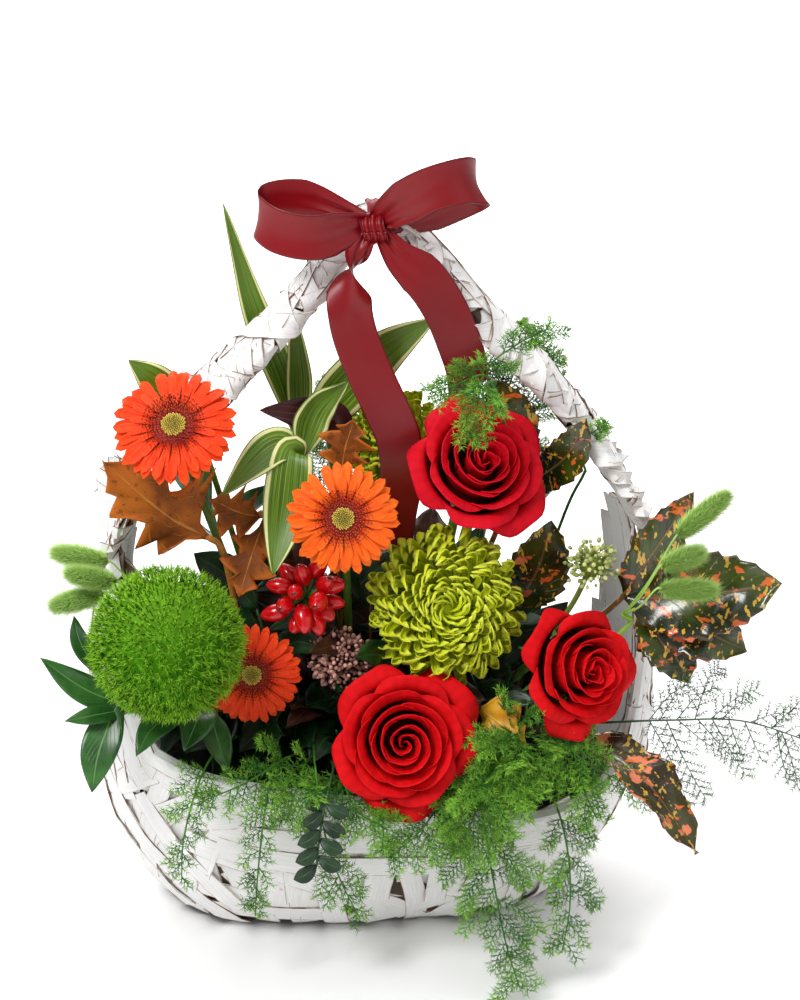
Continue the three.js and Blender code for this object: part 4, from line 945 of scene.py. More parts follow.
def rosePetal(heap, age, turn, rose, axes, rng):
    # age 0 is the innermost petal and 1 the outermost
    u, v, faces = cell(16, 18)
    rim = 0.035 + 0.93 * age**1.12
    lift, opened = listed(rimLift, rim), listed(rimOpen, rim)
    base = np.array((0.05 + 0.08 * age, -0.7))
    belly = np.array((rim * 0.86 + 0.05, -0.45 - 0.05 * age))
    neck = np.array((rim * (0.9 - 0.22 * opened), lift - 0.34 + 0.26 * opened))
    tip = np.array((rim, lift))
    point = (0.01 + 0.12 * opened) * (1 - 1.7 * np.abs(u) ** 1.2)  # a point in the middle of the rim
    reach = v * (1 - 0.15 * np.abs(u) ** 3 - 0.02 * np.sin(u * 8 + turn * 7) * age)
    t = reach[:, None]
    profile = base * (1 - t) ** 3 + 3 * belly * t * (1 - t) ** 2 + 3 * neck * t**2 * (1 - t) + tip * t**3
    away, height = profile[:, 0], profile[:, 1]
    edge = ease(0.8, 1.0, v)
    roll = (0.018 + 0.06 * opened) * (0.45 + 0.9 * np.exp(-((np.abs(u) - 0.55) / 0.3) ** 2))
    away = away + point * edge + roll * np.sin(edge * 1.7)
    height = height - roll * (1 - np.cos(edge * 2.1)) * (0.9 + opened) - 0.05 * opened * np.abs(u) ** 2 * v
    away = away + (0.035 + 0.02 * age) * u  # one edge tucks under the next petal
    away = away + rose["loose"] * 0.03 * np.sin(u * 4 + turn * 5) * edge * (1.2 - age)
    span = (1.75 - 1.0 * age**0.8) * (0.35 + 0.65 * np.sin(np.minimum(1, v * 1.25) * math.pi / 2))
    angle = turn - u * span
    spots = np.stack([away * np.cos(angle), away * np.sin(angle), height], axis=1) * rose["radius"]
    heap.put(spots @ axes + np.array(rose["centre"]), faces, (u + 1) / 2, v, rng.uniform(-0.15, 0.15))


def makeRoses():
    for name, rose in roses.items():
        rng = np.random.default_rng(len(name) * 31)
        heap, green = Heap(), Heap()
        centre, back = backOf(rose)
        axes = turnTo(rose["facing"], rose["turn"])
        radius = rose["radius"]
        count = rose["petals"]
        for k in range(count):
            rosePetal(heap, k / (count - 1), k * golden + 0.15 * math.sin(3 * k), rose, axes, rng)
        # a ball behind the petals closes the middle; its front takes the deep colour, painted shade in the
        # gaps between petals
        balls(heap, [centre - axes[2] * radius * 0.42], radius * 0.5, 1, [-axes[2]], rings=12)
        heap.piece(f"{name}Petals", [name], rose["slot"], [finishes[rose["finish"]]], thick=petalThick)
        neck = centre + back * radius * 0.86
        stemTo(green, [neck, centre + back * radius * 1.35], rose["spot"], "rose")
        balls(green, [centre + back * radius * 0.9], radius * 0.17, 1.1, [back], rings=8)
        fifth = 1.257
        for k in range(sepals):
            out = axes[0] * math.cos(k * fifth) + axes[1] * math.sin(k * fifth)
            root = neck + out * radius * 0.1
            line = [root, root + out * radius * 0.3 - back * radius * 0.02,
                    root + out * radius * 0.5 + back * radius * 0.12]
            blade(green, line, -back, lambda v, u: 3.4 * (1 - v) ** 0.8 + 0.2, columns=4, rows=8)
        green.piece(f"{name}Stem", [f"{name}_stem"], "stem", [finishes["stem"]])


makeRoses()
print("roses made")


gerberas = {
    "gerbera_top": {"centre": (-107, -67, 317), "facing": (-0.15, -0.7, 0.7), "radius": 35,
                    "spot": (-45, -5), "finish": "gerberaRed", "slot": "gerbera_ray_red"},
    "gerbera_mid": {"centre": (-17, -74, 263), "facing": (-0.1, -0.92, 0.37), "radius": 32,
                    "spot": (-8, -13), "finish": "gerberaOrange", "slot": "gerbera_ray_orange"},
    "gerbera_low": {"centre": (-68, -66, 168), "facing": (-0.1, -0.95, 0.3), "radius": 29,
                    "spot": (-37, -32), "finish": "gerberaRed", "slot": "gerbera_ray_red"},
}
# rings of rays from the back to the middle, in radii: where a ray starts and ends, how high its middle and
# its tip stand, and half its width
rayRings = [
    {"count": 27, "from": 0.3, "reach": 1.0, "base": 0.02, "rise": -0.06, "half": 0.088},
    {"count": 25, "from": 0.3, "reach": 0.93, "base": 0.04, "rise": 0.03, "half": 0.08},
    {"count": 21, "from": 0.28, "reach": 0.74, "base": 0.06, "rise": 0.08, "half": 0.062},
]
florets = [(0.47, 62), (0.415, 60), (0.36, 54), (0.31, 48), (0.26, 42), (0.21, 34)]  # ring, and how many
eye = {"radius": 0.19, "buds": 120}
bracts = 26  # under the head
rayThick = 0.3


def rayWidth(half):
    # widens from the root and ends in a blunt tip
    def width(v, u):
        body = half * (0.42 + 0.58 * np.sin(np.minimum(1, v * 1.15) * math.pi / 2))
        return body * np.sqrt(np.clip(1 - ((v - 0.72) / 0.28).clip(0, 1) ** 2.1, 0.0, 1)) + half * 0.03
    return width


def makeGerberas():
    for name, bloom in gerberas.items():
        rng = np.random.default_rng(len(name) * 17 + 3)
        radius = bloom["radius"]
        axes = turnTo(bloom["facing"], 0.1)
        centre, back = backOf(bloom)
        heap, disc, green = Heap(), Heap(), Heap()

        def out(ring, angle, z):
            # a place on the bloom, in its radii
            flat = (ring * math.cos(angle), ring * math.sin(angle), z)
            return np.array(flat) @ axes * radius + centre

        for order, ring in enumerate(rayRings):
            for k in range(ring["count"]):
                angle = (k + 0.5 * order + rng.uniform(-0.2, 0.2)) / ring["count"] * 2 * math.pi
                reach = ring["reach"] * rng.uniform(0.93, 1.0)
                rise = ring["rise"] + rng.uniform(-0.035, 0.035)
                middle = (ring["from"] + reach) / 2
                points = [out(ring["from"], angle, ring["base"]), out(middle, angle, ring["base"] + 0.05),
                          out(reach, angle, rise)]
                sideways = axes[0] * -math.sin(angle) + axes[1] * math.cos(angle)
                facing = axes[2] + sideways * rng.uniform(-0.25, 0.25)
                width = rayWidth(ring["half"] * radius * rng.uniform(0.9, 1.08))
                blade(heap, points, facing, width, columns=6, rows=9, cup=rng.uniform(0.1, 0.4),
                      tone=rng.uniform(-0.2, 0.35))
        heap.piece(f"{name}Rays", [f"{name}_rays"], bloom["slot"], [finishes[bloom["finish"]]],
                   thick=rayThick)

        for ring, count in florets:  # short red florets with pale tips, leaning out
            for k in range(count):
                angle = (k + rng.uniform(-0.3, 0.3)) / count * 2 * math.pi
                r = ring * rng.uniform(0.97, 1.03)
                long = rng.uniform(0.055, 0.085)
                points = [out(r, angle, 0.06), out(r, angle, 0.11), out(r + long * 0.55, angle, 0.11 + long)]
                blade(disc, points, axes[2], lambda v, u: radius * 0.017 * (1.15 - v), columns=1, rows=3,
                      tone=rng.uniform(0, 0.12))
        ring = np.sqrt(np.arange(eye["buds"]) / eye["buds"])
        angle = np.arange(eye["buds"]) * golden
        places = np.stack([ring * eye["radius"] * np.cos(angle), ring * eye["radius"] * np.sin(angle),
                           0.1 + 0.05 * np.cos(ring * 1.5)], axis=1)
        tones = np.clip(0.62 + ring * 0.3 + rng.uniform(-0.1, 0.1, eye["buds"]), 0.5, 1)
        balls(disc, places @ axes * radius + centre, radius * (0.012 + 0.006 * ring), 1.8,
              [axes[2]] * eye["buds"], rings=4, tone=tones)
        # the disc under them, turned to face outwards
        u, v, faces = cell(24, 5)
        turn = -u * math.pi
        cap = np.stack([v * 0.5 * np.cos(turn), v * 0.5 * np.sin(turn), 0.085 - 0.03 * v**2], axis=1)
        tones = np.where(v < 0.3, 0.5, -0.2)
        disc.put(cap @ axes * radius + centre, [f[:, ::-1] for f in faces], u, v * 0.5, tones)
        disc.piece(f"{name}Disc", [f"{name}_disc"], "gerbera_disc", [finishes["disc"]])

        stemTo(green, [centre + back * 2, centre + back * 27], bloom["spot"], "gerbera")
        for k in range(bracts):
            angle = k * golden
            points = [out(0.07, angle, -0.2), out(0.2, angle, -0.12), out(0.3, angle, -0.04)]
            facing = -axes[2] + axes[0] * math.cos(angle) + axes[1] * math.sin(angle)
            blade(green, points, facing, lambda v, u: 1.6 * (1.05 - v), columns=2, rows=4)
        green.piece(f"{name}Stem", [f"{name}_stem"], "stem", [finishes["stem"]])


makeGerberas()
print("gerberas made")


mums = {
    "mum_front": {"centre": (41, -58, 201), "facing": (-0.03, -0.93, 0.37), "radius": 46, "spot": (22, -17),
                  "petals": 280},
    "mum_back": {"centre": (20, 16, 273), "facing": (-0.05, -0.75, 0.66), "radius": 33, "spot": (8, 13),
                 "petals": 170},
}
mumThick = 0.4


def hookWidth(half):
    # widens slowly and ends round
    def width(v, u):
        end = ((v - 0.86) / 0.14).clip(0, 1)
        return half * (0.6 + 0.4 * np.sin(v * 1.57)) * np.sqrt(np.clip(1.03 - end**2, 0, 1))
    return width


def makeMums():
    for name, bloom in mums.items():
        rng = np.random.default_rng(bloom["petals"])
        radius = bloom["radius"]
        axes = turnTo(bloom["facing"], 0.2)
        centre, back = backOf(bloom)
        heap, green = Heap(), Heap()
        count = bloom["petals"]
        up = np.array((0, 0, 1.0))
        for k in range(count):
            share = (k + 0.5) / count
            polar = 0.03 + 1.85 * share**0.62 + rng.uniform(-0.05, 0.05)  # from mid face to behind the rim
            angle = k * golden + rng.uniform(-0.12, 0.12)
            flat = np.array((math.cos(angle), math.sin(angle), 0))
            out = flat * math.sin(polar) + up * math.cos(polar)
            swirl = np.array((-math.sin(angle), math.cos(angle), 0)) * (0.05 + 0.05 * (1 - share))
            long = (0.16 + 0.5 * share**0.55) * rng.uniform(0.8, 1.12)
            hook = rng.uniform(0.1, 0.2) * (0.5 + share)
            root = out * 0.34
            middle = root + out * long * 0.6 - up * 0.06 * share
            bend = root + out * long + up * hook * 0.4 + swirl
            tip = bend + up * hook * (0.75 - 0.5 * share * rng.uniform(0, 1)) - flat * hook * 0.85 + swirl
            points = [p @ axes * radius + centre for p in (root, middle, bend, tip)]
            half = radius * (0.026 + 0.036 * min(1, share * 2.5)) * rng.uniform(0.9, 1.12)
            facing = (up * 0.9 - flat * 1.6) @ axes
            blade(heap, points, facing, hookWidth(half), columns=5, rows=9, cup=rng.uniform(0.5, 1.1),
                  tone=rng.uniform(-0.25, 0.4))
        core = radius * 0.42
        balls(heap, [centre], core, rings=16, tone=-0.6)
        heap.piece(f"{name}Petals", [name], "mum_petal", [finishes["mum"]], thick=mumThick)
        stemTo(green, [centre + back * radius * 0.3, centre + back * (core + 23)], bloom["spot"], "mum")
        green.piece(f"{name}Stem", [f"{name}_stem"], "stem", [finishes["stem"]])


makeMums()
print("chrysanthemums made")


dianthus = {"centre": (-115.5, -106, 207.5), "core": 34, "reach": (42, 46), "tufts": 1500, "threads": 9,
            "stalk": [(-107.5, -94, 183.5), (-102, -84, 192), (-96, -50, 178)], "spot": (-61, -17)}


def spread(count, cover=2):
    # even directions over a ball, or over the top of one where cover is less than 2
    k = np.arange(count)
    z = 1 - cover * (k + 0.5) / count
    r = np.sqrt(1 - z * z)
    return np.stack([r * np.cos(k * golden), r * np.sin(k * golden), z], axis=1)


def makeDianthus():
    rng = np.random.default_rng(5)
    heap = Heap()
    centre = np.array(dianthus["centre"], float)
    count = dianthus["tufts"]
    out = unit(spread(count) + rng.normal(0, 0.02, (count, 3)))
    stalk = unit(out + rng.normal(0, 0.09, (count, 3)))
    roots = centre + out * (dianthus["core"] - 1)
    tops = roots + stalk * (rng.uniform(*dianthus["reach"], count) - dianthus["core"] - 2)[:, None]
    needles(heap, roots, tops, 0.5, -0.5)
    for k in range(dianthus["threads"]):  # each tuft ends in a fan of curled threads
        foot = roots + (tops - roots) * rng.uniform(0.45, 0.95, count)[:, None]
        way = unit(stalk + rng.normal(0, 0.5, (count, 3)))
        long = rng.uniform(3.2, 5.6, count)[:, None]
        needles(heap, foot, foot + way * long, 0.34, rng.uniform(-0.5, 1.0, count))
    balls(heap, [centre], dianthus["core"], rings=20, tone=-0.9)
    stemTo(heap, dianthus["stalk"], dianthus["spot"], "dianthus")
    heap.piece("dianthusBall", ["dianthus_head"], "dianthus_bract", [finishes["bract"]])


makeDianthus()

# the stems of a bunch meet at one place, and each head runs from its base to its tip
grasses = {
    "bunny_tails_left": {"meeting": (-124, -62, 221), "spot": (-70, 3),
                         "heads": [((-143, -66, 239), (-176, -73, 250)),
                                   ((-139, -69, 228), (-169, -81, 241)),
                                   ((-146, -67, 222), (-178, -77, 219))]},
    "bunny_tails_right": {"meeting": (141, -64, 194), "spot": (76, -25),
                          "heads": [((164, -84, 247), (193, -92, 277)),
                                    ((155, -90, 233), (178, -100, 246)),
                                    ((153, -94, 222), (185, -108, 226))]},
}
grassHead = {"core": 3.9, "share": 0.84, "hairs": 2600, "hair": (3.2, 8.0), "thin": 0.14}


def makeGrasses():
    for name, bunch in grasses.items():
        rng = np.random.default_rng(len(name))
        heap = Heap()
        meeting = np.array(bunch["meeting"])
        stemTo(heap, [meeting, meeting + (0, 6, -14)], bunch["spot"], "grass")
        count, core = grassHead["hairs"], grassHead["core"]
        for base, tip in bunch["heads"]:
            base, tip = np.array(base, float), np.array(tip, float)
            middle, way = (base + tip) / 2, unit(tip - base)
            half = np.linalg.norm(tip - base) / 2
            stalk = [meeting, (meeting + base) / 2 + (0, 0, -3), base, base + way * 4]
            tube(heap, stalk, 0.6, sides=6, tone=0.2)
            balls(heap, [middle], core, half / core * grassHead["share"], [way], rings=12, tone=-0.1)
            axes = turnTo(way)
            oval = np.array((core, core, half * grassHead["share"]))
            lean = unit(unit(spread(count) / oval) + np.array((0, 0, 1.1)) + rng.normal(0, 0.22, (count, 3)))
            roots = (spread(count) * oval) @ axes + middle
            tips = roots + lean @ axes * rng.uniform(*grassHead["hair"], count)[:, None]
            needles(heap, roots, tips, grassHead["thin"], rng.uniform(-0.2, 1.1, count))
        heap.piece(f"{name}Heads", [name], "grass_head", [finishes["hair"]])


makeGrasses()
print("green heads made")


front = (-0.1, -0.95, 0.3)  # the way most leaves face
leafThick = 0.5


def lance(half, at=0.45, root=1.2):
    # a pointed leaf, widest at that share of its length
    def width(v, u):
        rise = np.where(v < at, np.sin(v / at * math.pi / 2), np.cos((v - at) / (1 - at) * math.pi / 2))
        return root * (1 - v) + (half - root) * np.maximum(0, rise) ** 0.9
    return width


def toothed(half, teeth=9):
    # widest at the middle, with teeth that point to the tip
    shares = [(0.12, 0.62), (0.25, 0.82), (0.4, 0.96), (0.5, 1), (0.62, 0.9), (0.75, 0.74), (0.88, 0.45)]
    stops = [(0, 0.5)] + [(v, half * share) for v, share in shares] + [(1, 0)]

    def width(v, u):
        saw = (v * teeth) % 1
        return listed(stops, v) * (0.9 + 0.14 * saw**1.5)
    return width


def lobed(stops):
    # one edge from "low" and the other from "high" where that is given
    def width(v, u):
        low = listed(stops["low"], v)
        return np.where(u > 0, low, listed(stops.get("high", stops["low"]), v))
    return width


oakWide = {
    "low": [(0, 1), (0.08, 2), (0.16, 6), (0.2, 16), (0.27, 38), (0.31, 22), (0.36, 33), (0.42, 15),
            (0.47, 11), (0.56, 17), (0.63, 25), (0.68, 12), (0.76, 8), (0.82, 14), (0.88, 6), (1, 0)],
    "high": [(0, 1), (0.08, 2), (0.2, 6), (0.28, 22), (0.34, 14), (0.4, 26), (0.46, 10), (0.56, 14),
             (0.64, 22), (0.7, 10), (0.8, 12), (0.88, 5), (1, 0)],
}
oakSmall = {
    "low": [(0, 1), (0.1, 1.5), (0.2, 5), (0.3, 15), (0.36, 8), (0.44, 7), (0.54, 17), (0.62, 12),
            (0.68, 5), (0.78, 9), (0.86, 4), (1, 0)],
}

# what the leaves of one finish share, and their slot
leafKinds = {
    "oakLeaf": ("oak_leaf", {"rows": 44, "columns": 10, "cup": 0.1, "sweep": 0.1, "ripple": 2.0}),
    "oakGold": ("oak_leaf_yellow", {"rows": 44, "columns": 10, "cup": 0.1, "sweep": 0.05, "ripple": 2.0}),
    "croton": ("croton_leaf", {"rows": 50, "columns": 12, "cup": 0.15, "ripple": 0.8}),
    "dracaena": ("dracaena_leaf", {"rows": 24, "columns": 8, "cup": 0.2, "ripple": 0.8}),
    "cordyline": ("cordyline_leaf", {"rows": 24, "columns": 8, "cup": 0.25, "ripple": 0.8}),
    "ruscus": ("ruscus_leaf", {"rows": 20, "columns": 8, "cup": 0.12, "ripple": 1.0, "waves": 1.5}),
}
# each leaf is its spine from root to tip, its width, and what differs from its kind
leafyStems = {
    "oak_leaf_left": {
        "finish": "oakLeaf", "spot": (-58, -5), "stalk": [(-90, -52, 246), (-82, -44, 234), (-74, -28, 190)],
        "leaves": [([(-86, -49, 242), (-113, -56, 262), (-146, -64, 298)], lobed(oakWide),
                    {"cup": -0.1, "rows": 60, "columns": 12})]},
    "oak_leaf_middle": {
        "finish": "oakLeaf", "spot": (-36, 7), "stalk": [(-60, -34, 252), (-54, -26, 240), (-44, -8, 180)],
        "leaves": [([(-57, -31, 248), (-72, -42, 256), (-88, -50, 268)], lobed(oakSmall), {}),
                   ([(-57, -31, 248), (-66, -48, 232), (-74, -58, 212)], lobed(oakSmall), {})]},
    "oak_leaf_upper": {
        "finish": "oakLeaf", "spot": (-14, 2), "stalk": [(-15, -37, 280), (-15, -30, 262), (-14, -10, 190)],
        "leaves": [([(-15, -36, 272), (-13, -40, 290), (-8, -42, 308)], lobed(oakSmall), {"ripple": 1.5})]},
    "oak_leaf_low": {
        "finish": "oakGold", "spot": (38, -27), "stalk": [(58, -72, 146), (54, -62, 140), (44, -44, 122)],
        "leaves": [([(56, -70, 144), (68, -88, 142), (82, -98, 132)], lobed(oakSmall), {})]},
    "croton_right": {
        "finish": "croton", "spot": (74, -3), "stalk": [(146, -56, 206), (134, -50, 190), (104, -24, 150)],
        "leaves": [([(143, -56, 200), (184, -70, 206), (226, -82, 217)], toothed(27),
                    {"facing": (-0.3, -0.85, 0.5), "cup": 0.18, "ripple": 2.5, "rows": 54, "roll": 3}),
                   ([(142, -55, 202), (160, -61, 234), (178, -66, 267)], toothed(14),
                    {"facing": (-0.3, -0.9, 0.2), "ripple": 1.5, "rows": 54})]},
    "croton_low": {
        "finish": "croton", "spot": (66, -28), "stalk": [(122, -78, 130), (112, -66, 132), (88, -44, 126)],
        "leaves": [([(118, -76, 128), (148, -110, 112), (174, -130, 76)], toothed(19),
                    {"facing": (0.5, -0.6, 0.7), "cup": 0.3, "ripple": 2.0, "rows": 54, "tone": 0.5})]},
    "croton_top": {
        "finish": "croton", "spot": (44, 12), "stalk": [(98, 8, 270), (88, 10, 240), (62, 12, 170)],
        "leaves": [([(94, 8, 260), (86, 3, 288), (72, 1, 314)], toothed(15), {}),
                   ([(90, 2, 244), (110, -32, 276), (121, -43, 304)], toothed(13), {})]},
    "croton_middle": {
        "finish": "croton", "spot": (42, -15), "stalk": [(88, -26, 190), (76, -22, 170), (56, -18, 136)],
        "leaves": [([(84, -25, 184), (96, -32, 208), (104, -34, 240)], toothed(20),
                    {"facing": (0.1, -1, 0.2), "cup": 0.1, "tone": 0.3})]},
    "dracaena_tall": {
        "finish": "dracaena", "spot": (-30, 21), "stalk": [(-36, 26, 290), (-34, 26, 260), (-32, 22, 180)],
        "leaves": [([(-34, 26, 272), (-44, 29, 312), (-58, 30, 350), (-74, 30, 412)], lance(10),
                    {"facing": (0.3, -1, 0), "cup": 0.3, "rows": 30}),
                   ([(-34, 26, 272), (-33, 25, 310), (-36, 27, 350)], lance(8),
                    {"facing": (-0.2, -1, 0), "cup": 0.3})]},
    "dracaena_right": {
        "finish": "dracaena", "spot": (-8, 19), "stalk": [(-20, 10, 290), (-16, 14, 260), (-10, 18, 180)],
        "leaves": [([(-18, 12, 278), (-16, 6, 300), (12, 1, 331), (42, -2, 352)], lance(15, 0.5),
                    {"facing": (0.2, -1, 0.5), "rows": 30})]},
    "dracaena_front": {
        "finish": "dracaena", "spot": (-27, -2), "stalk": [(-38, -34, 292), (-36, -26, 270), (-30, -8, 190)],
        "leaves": [([(-37, -30, 282), (-42, -44, 290), (-47, -54, 262), (-56, -72, 230)], lance(14, 0.6),
                    {"facing": (-0.1, -1, 0.5), "rows": 30}),
                   ([(-37, -30, 282), (-52, -38, 292), (-82, -56, 272)], lance(12, 0.5),
                    {"facing": (0, -0.7, 0.7)}),
                   ([(-37, -30, 282), (-28, -22, 306), (-9, -19, 322)], lance(11, 0.4),
                    {"facing": (0.2, -1, 0.1), "cup": 0.3})]},
    "dracaena_left": {
        "finish": "dracaena", "spot": (-48, 17), "stalk": [(-92, -42, 300), (-84, -34, 270), (-62, -2, 180)],
        "leaves": [([(-90, -40, 292), (-112, -38, 328), (-130, -38, 346)], lance(12, 0.4),
                    {"facing": (0, -1, 0.4)})]},
    "cordyline_leaf": {
        "finish": "cordyline", "spot": (-18, 12), "stalk": [(-12, -8, 284), (-14, -2, 262), (-17, 8, 180)],
        "leaves": [([(-12, -6, 276), (-16, -10, 296), (-36, -14, 302), (-58, -16, 306)], lance(11, 0.5),
                    {"facing": (-0.1, -0.8, 0.6)})]},
}
# plain lance leaves, each as root, middle, tip and half width
ruscusStems = {
    "ruscus_left": {
        "spot": (-80, -14), "stalk": [(-153, -82, 182), (-137, -81, 157), (-106, -58, 150)],
        "leaves": [((-140, -81, 160), (-162, -84, 173), (-184, -86, 193), 9),
                   ((-142, -81, 164), (-154, -98, 142), (-159, -108, 121), 11),
                   ((-153, -82, 181), (-162, -79, 198), (-165, -77, 213), 6),
                   ((-137, -80, 157), (-156, -92, 160), (-172, -98, 160), 6)]},
    "ruscus_low_left": {
        "spot": (-70, -27), "stalk": [(-104, -86, 160), (-96, -66, 152), (-82, -40, 132)],
        "leaves": [((-98, -70, 154), (-100, -98, 158), (-108, -116, 148), 11),
                   ((-102, -80, 158), (-124, -94, 152), (-134, -108, 142), 8),
                   ((-92, -62, 146), (-88, -84, 135), (-84, -100, 126), 8)]},
    "ruscus_back_left": {
        "spot": (-50, 34), "stalk": [(-84, 74, 214), (-76, 62, 180), (-60, 44, 140)],
        "leaves": [((-84, 73, 212), (-96, 84, 236), (-100, 88, 262), 13),
                   ((-80, 68, 196), (-102, 86, 200), (-124, 92, 204), 12),
                   ((-80, 68, 196), (-62, 86, 206), (-44, 92, 220), 12),
                   ((-70, 55, 165), (-74, 84, 168), (-84, 108, 160), 13)]},
    "ruscus_back_right": {
        "spot": (44, 35), "stalk": [(84, 74, 210), (74, 62, 178), (56, 44, 140)],
        "leaves": [((84, 73, 208), (92, 84, 232), (94, 88, 258), 13),
                   ((80, 69, 196), (104, 86, 200), (126, 92, 208), 12),
                   ((80, 69, 196), (60, 86, 204), (42, 92, 214), 12),
                   ((68, 56, 165), (72, 84, 168), (84, 108, 158), 13)]},
}


def leafyStem(name, finish, stalk, spot, leaves):
    slot, form = leafKinds[finish]
    heap = Heap()
    stemTo(heap, stalk, spot, "leaf")
    for spine, width, own in leaves:
        blade(heap, spine, width=width, **{"facing": front, **form, **own})
    heap.piece(f"{name}Leaves", [name], slot, [finishes[finish]], thick=leafThick)


for name, stem in leafyStems.items():
    leafyStem(name, stem["finish"], stem["stalk"], stem["spot"], stem["leaves"])
for name, stem in ruscusStems.items():  # those in front of the handle face the front, the others the back
    leaves = [((root, middle, tip), lance(half, 0.42), {"facing": (0, math.copysign(0.8, middle[1]), 0.6)})
              for root, middle, tip, half in stem["leaves"]]
    leafyStem(name, "ruscus", stem["stalk"], stem["spot"], leaves)

fill = {
    "stems": 74,
    "reach": (118, 62),  # to the sides, and to the front and back
    "floor": 104,
    "high": 146,
    "leaf": (32, 58),
    "half": (7, 13),
    "red": 4,  # every so many stems has dark red leaves
    "inside": (138, 92, 112),  # no tip goes further out, or lower than the last
    "twig": [(-24, -56, 108), (-26, -98, 122), (-34, -120, 104), (-38, -127, 78)],
    "twigLeaves": 9,
    "croton": [([(153, -52, 204), (178, -70, 190), (209, -80, 175)], 21),
               ([(156, -50, 196), (166, -66, 178), (178, -74, 154)], 17)],
}


def blooms():
    # centre and size of every round head
    for group in (roses, gerberas, mums):
        for bloom in group.values():
            yield np.array(bloom["centre"], float), bloom["radius"]
    yield np.array(dianthus["centre"], float), dianthus["reach"][1]


def fillStem(heap, rng, k, taken):
    # one stem from the foam, with leaves that keep clear of the blooms
    turn = k * golden
    out = math.sqrt((k + 0.5) / fill["stems"])
    x = fill["reach"][0] * out * math.cos(turn)
    y = fill["reach"][1] * out * math.sin(turn) - 4
    top = fill["floor"] + fill["high"] * (1 - (x / 150) ** 2) * rng.uniform(0.1, 1) * (1 - 0.4 * out)
    stem = [(x * 0.62, y * 0.6, foamTop - 4), (x * 0.8, y * 0.8, (foamTop + top) / 2), (x, y, top)]
    tube(heap, stem, 1.0, sides=6, steps=8, tip=0.5)
    for j in range(6):
        place, heading = alongCurve(stem, 1 - j * 0.16)
        around = j * 2.4 + k
        away = unit(np.array((math.cos(around) + x / 120, math.sin(around) + y / 60 - 0.3, 0.45)))
        long = rng.uniform(*fill["leaf"])
        tip = place + away * long + np.array((0, 0, rng.uniform(-8, 10)))
        middle = place + away * long * 0.5 + np.array((0, 0, 5))
        if any(np.linalg.norm(spot - centre) < size * 0.95
               for centre, size in taken for spot in (middle, tip)):
            continue
        wide, deep, low = fill["inside"]
        if abs(tip[0]) > wide or abs(tip[1]) > deep or tip[2] < low:
            continue
        facing = np.array((x / 160, -0.8 if y < 20 else 0.8, 0.6))
        blade(heap, [place, middle, tip], facing, lance(rng.uniform(*fill["half"])), columns=4, rows=10,
              cup=0.2, ripple=1.0, tone=rng.uniform(-0.2, 0.3))


def makeFill():
    rng = np.random.default_rng(19)
    green, red, side = Heap(), Heap(), Heap()
    taken = list(blooms())
    for k in range(fill["stems"]):
        fillStem(red if k % fill["red"] == 0 else green, rng, k, taken)
    tube(green, fill["twig"], 0.7, sides=6, tip=0.5)
    for k in range(fill["twigLeaves"]):  # a small-leaved twig over the rim
        place, heading = alongCurve(fill["twig"], 0.5 + 0.06 * k)
        tip = place + (13 if k % 2 else -13, -3, -7)
        blade(green, [place, (place + tip) / 2 + (0, -3, 0), tip], front, lance(4.6, 0.55, 0.4), columns=6,
              rows=10, cup=0.15, tone=rng.uniform(0, 0.4))
    for spine, half in fill["croton"]:
        blade(side, spine, (-0.2, -0.9, 0.4), toothed(half), columns=12, rows=50, cup=0.15, ripple=2.0,
              roll=3)
    side.piece("crotonSide", [], "croton_leaf", [finishes["croton"]], thick=leafThick)
    # the green fill leaves take the darker ruscus, painted shade
    green.piece("fillGreen", [], "ruscus_leaf", [finishes["ruscusPaintedShade"]], thick=leafThick)
    red.piece("fillRed", [], "cordyline_leaf", [finishes["redLeaf"]], thick=leafThick)


makeFill()
print("leaves made")


fruit = {"centre": (-36, -53, 208), "by": [(-32, -36, 180), (-27, -24, 140)], "spot": (-24, -20),
         "radius": 16, "cover": 1.05, "size": 5.2, "stretch": 1.55, "count": 15}


def makeBerries():
    rng = np.random.default_rng(3)
    heap, twigs = Heap(), Heap()
    centre = np.array(fruit["centre"], float)
    out = spread(fruit["count"], fruit["cover"]) @ turnTo(front)
    places = centre + out * fruit["radius"] + rng.normal(0, 1.2, out.shape)
    size = fruit["size"] * rng.uniform(0.85, 1.05, fruit["count"])
    balls(heap, places, size, fruit["stretch"], out + rng.normal(0, 0.25, out.shape), rings=14, point=0.25)
    heap.piece("redBerries", ["berries"], "berry", [finishes["berry"]])
    stemTo(twigs, [centre, *fruit["by"]], fruit["spot"], "berry")
    for place in places:
        tube(twigs, [centre, (centre + place) / 2, place], 0.7, sides=6, steps=4)
    twigs.piece("berryTwigs", ["berries"], "stem", [finishes["stem"]])


buds = {
    "skimmia_pink": {"centre": (-18, -58, 172), "facing": front, "radius": 16, "spot": (-12, -30),
                     "by": [(-16, -44, 150)], "finish": "budPink", "slot": "skimmia_bud_pink", "count": 300},
    "skimmia_green": {"centre": (124, -54, 220), "facing": (0, -0.5, 0.9), "radius": 14, "spot": (60, -13),
                      "by": [(112, -42, 186), (84, -26, 140)], "finish": "budGreen",
                      "slot": "skimmia_bud_green", "count": 110},
}


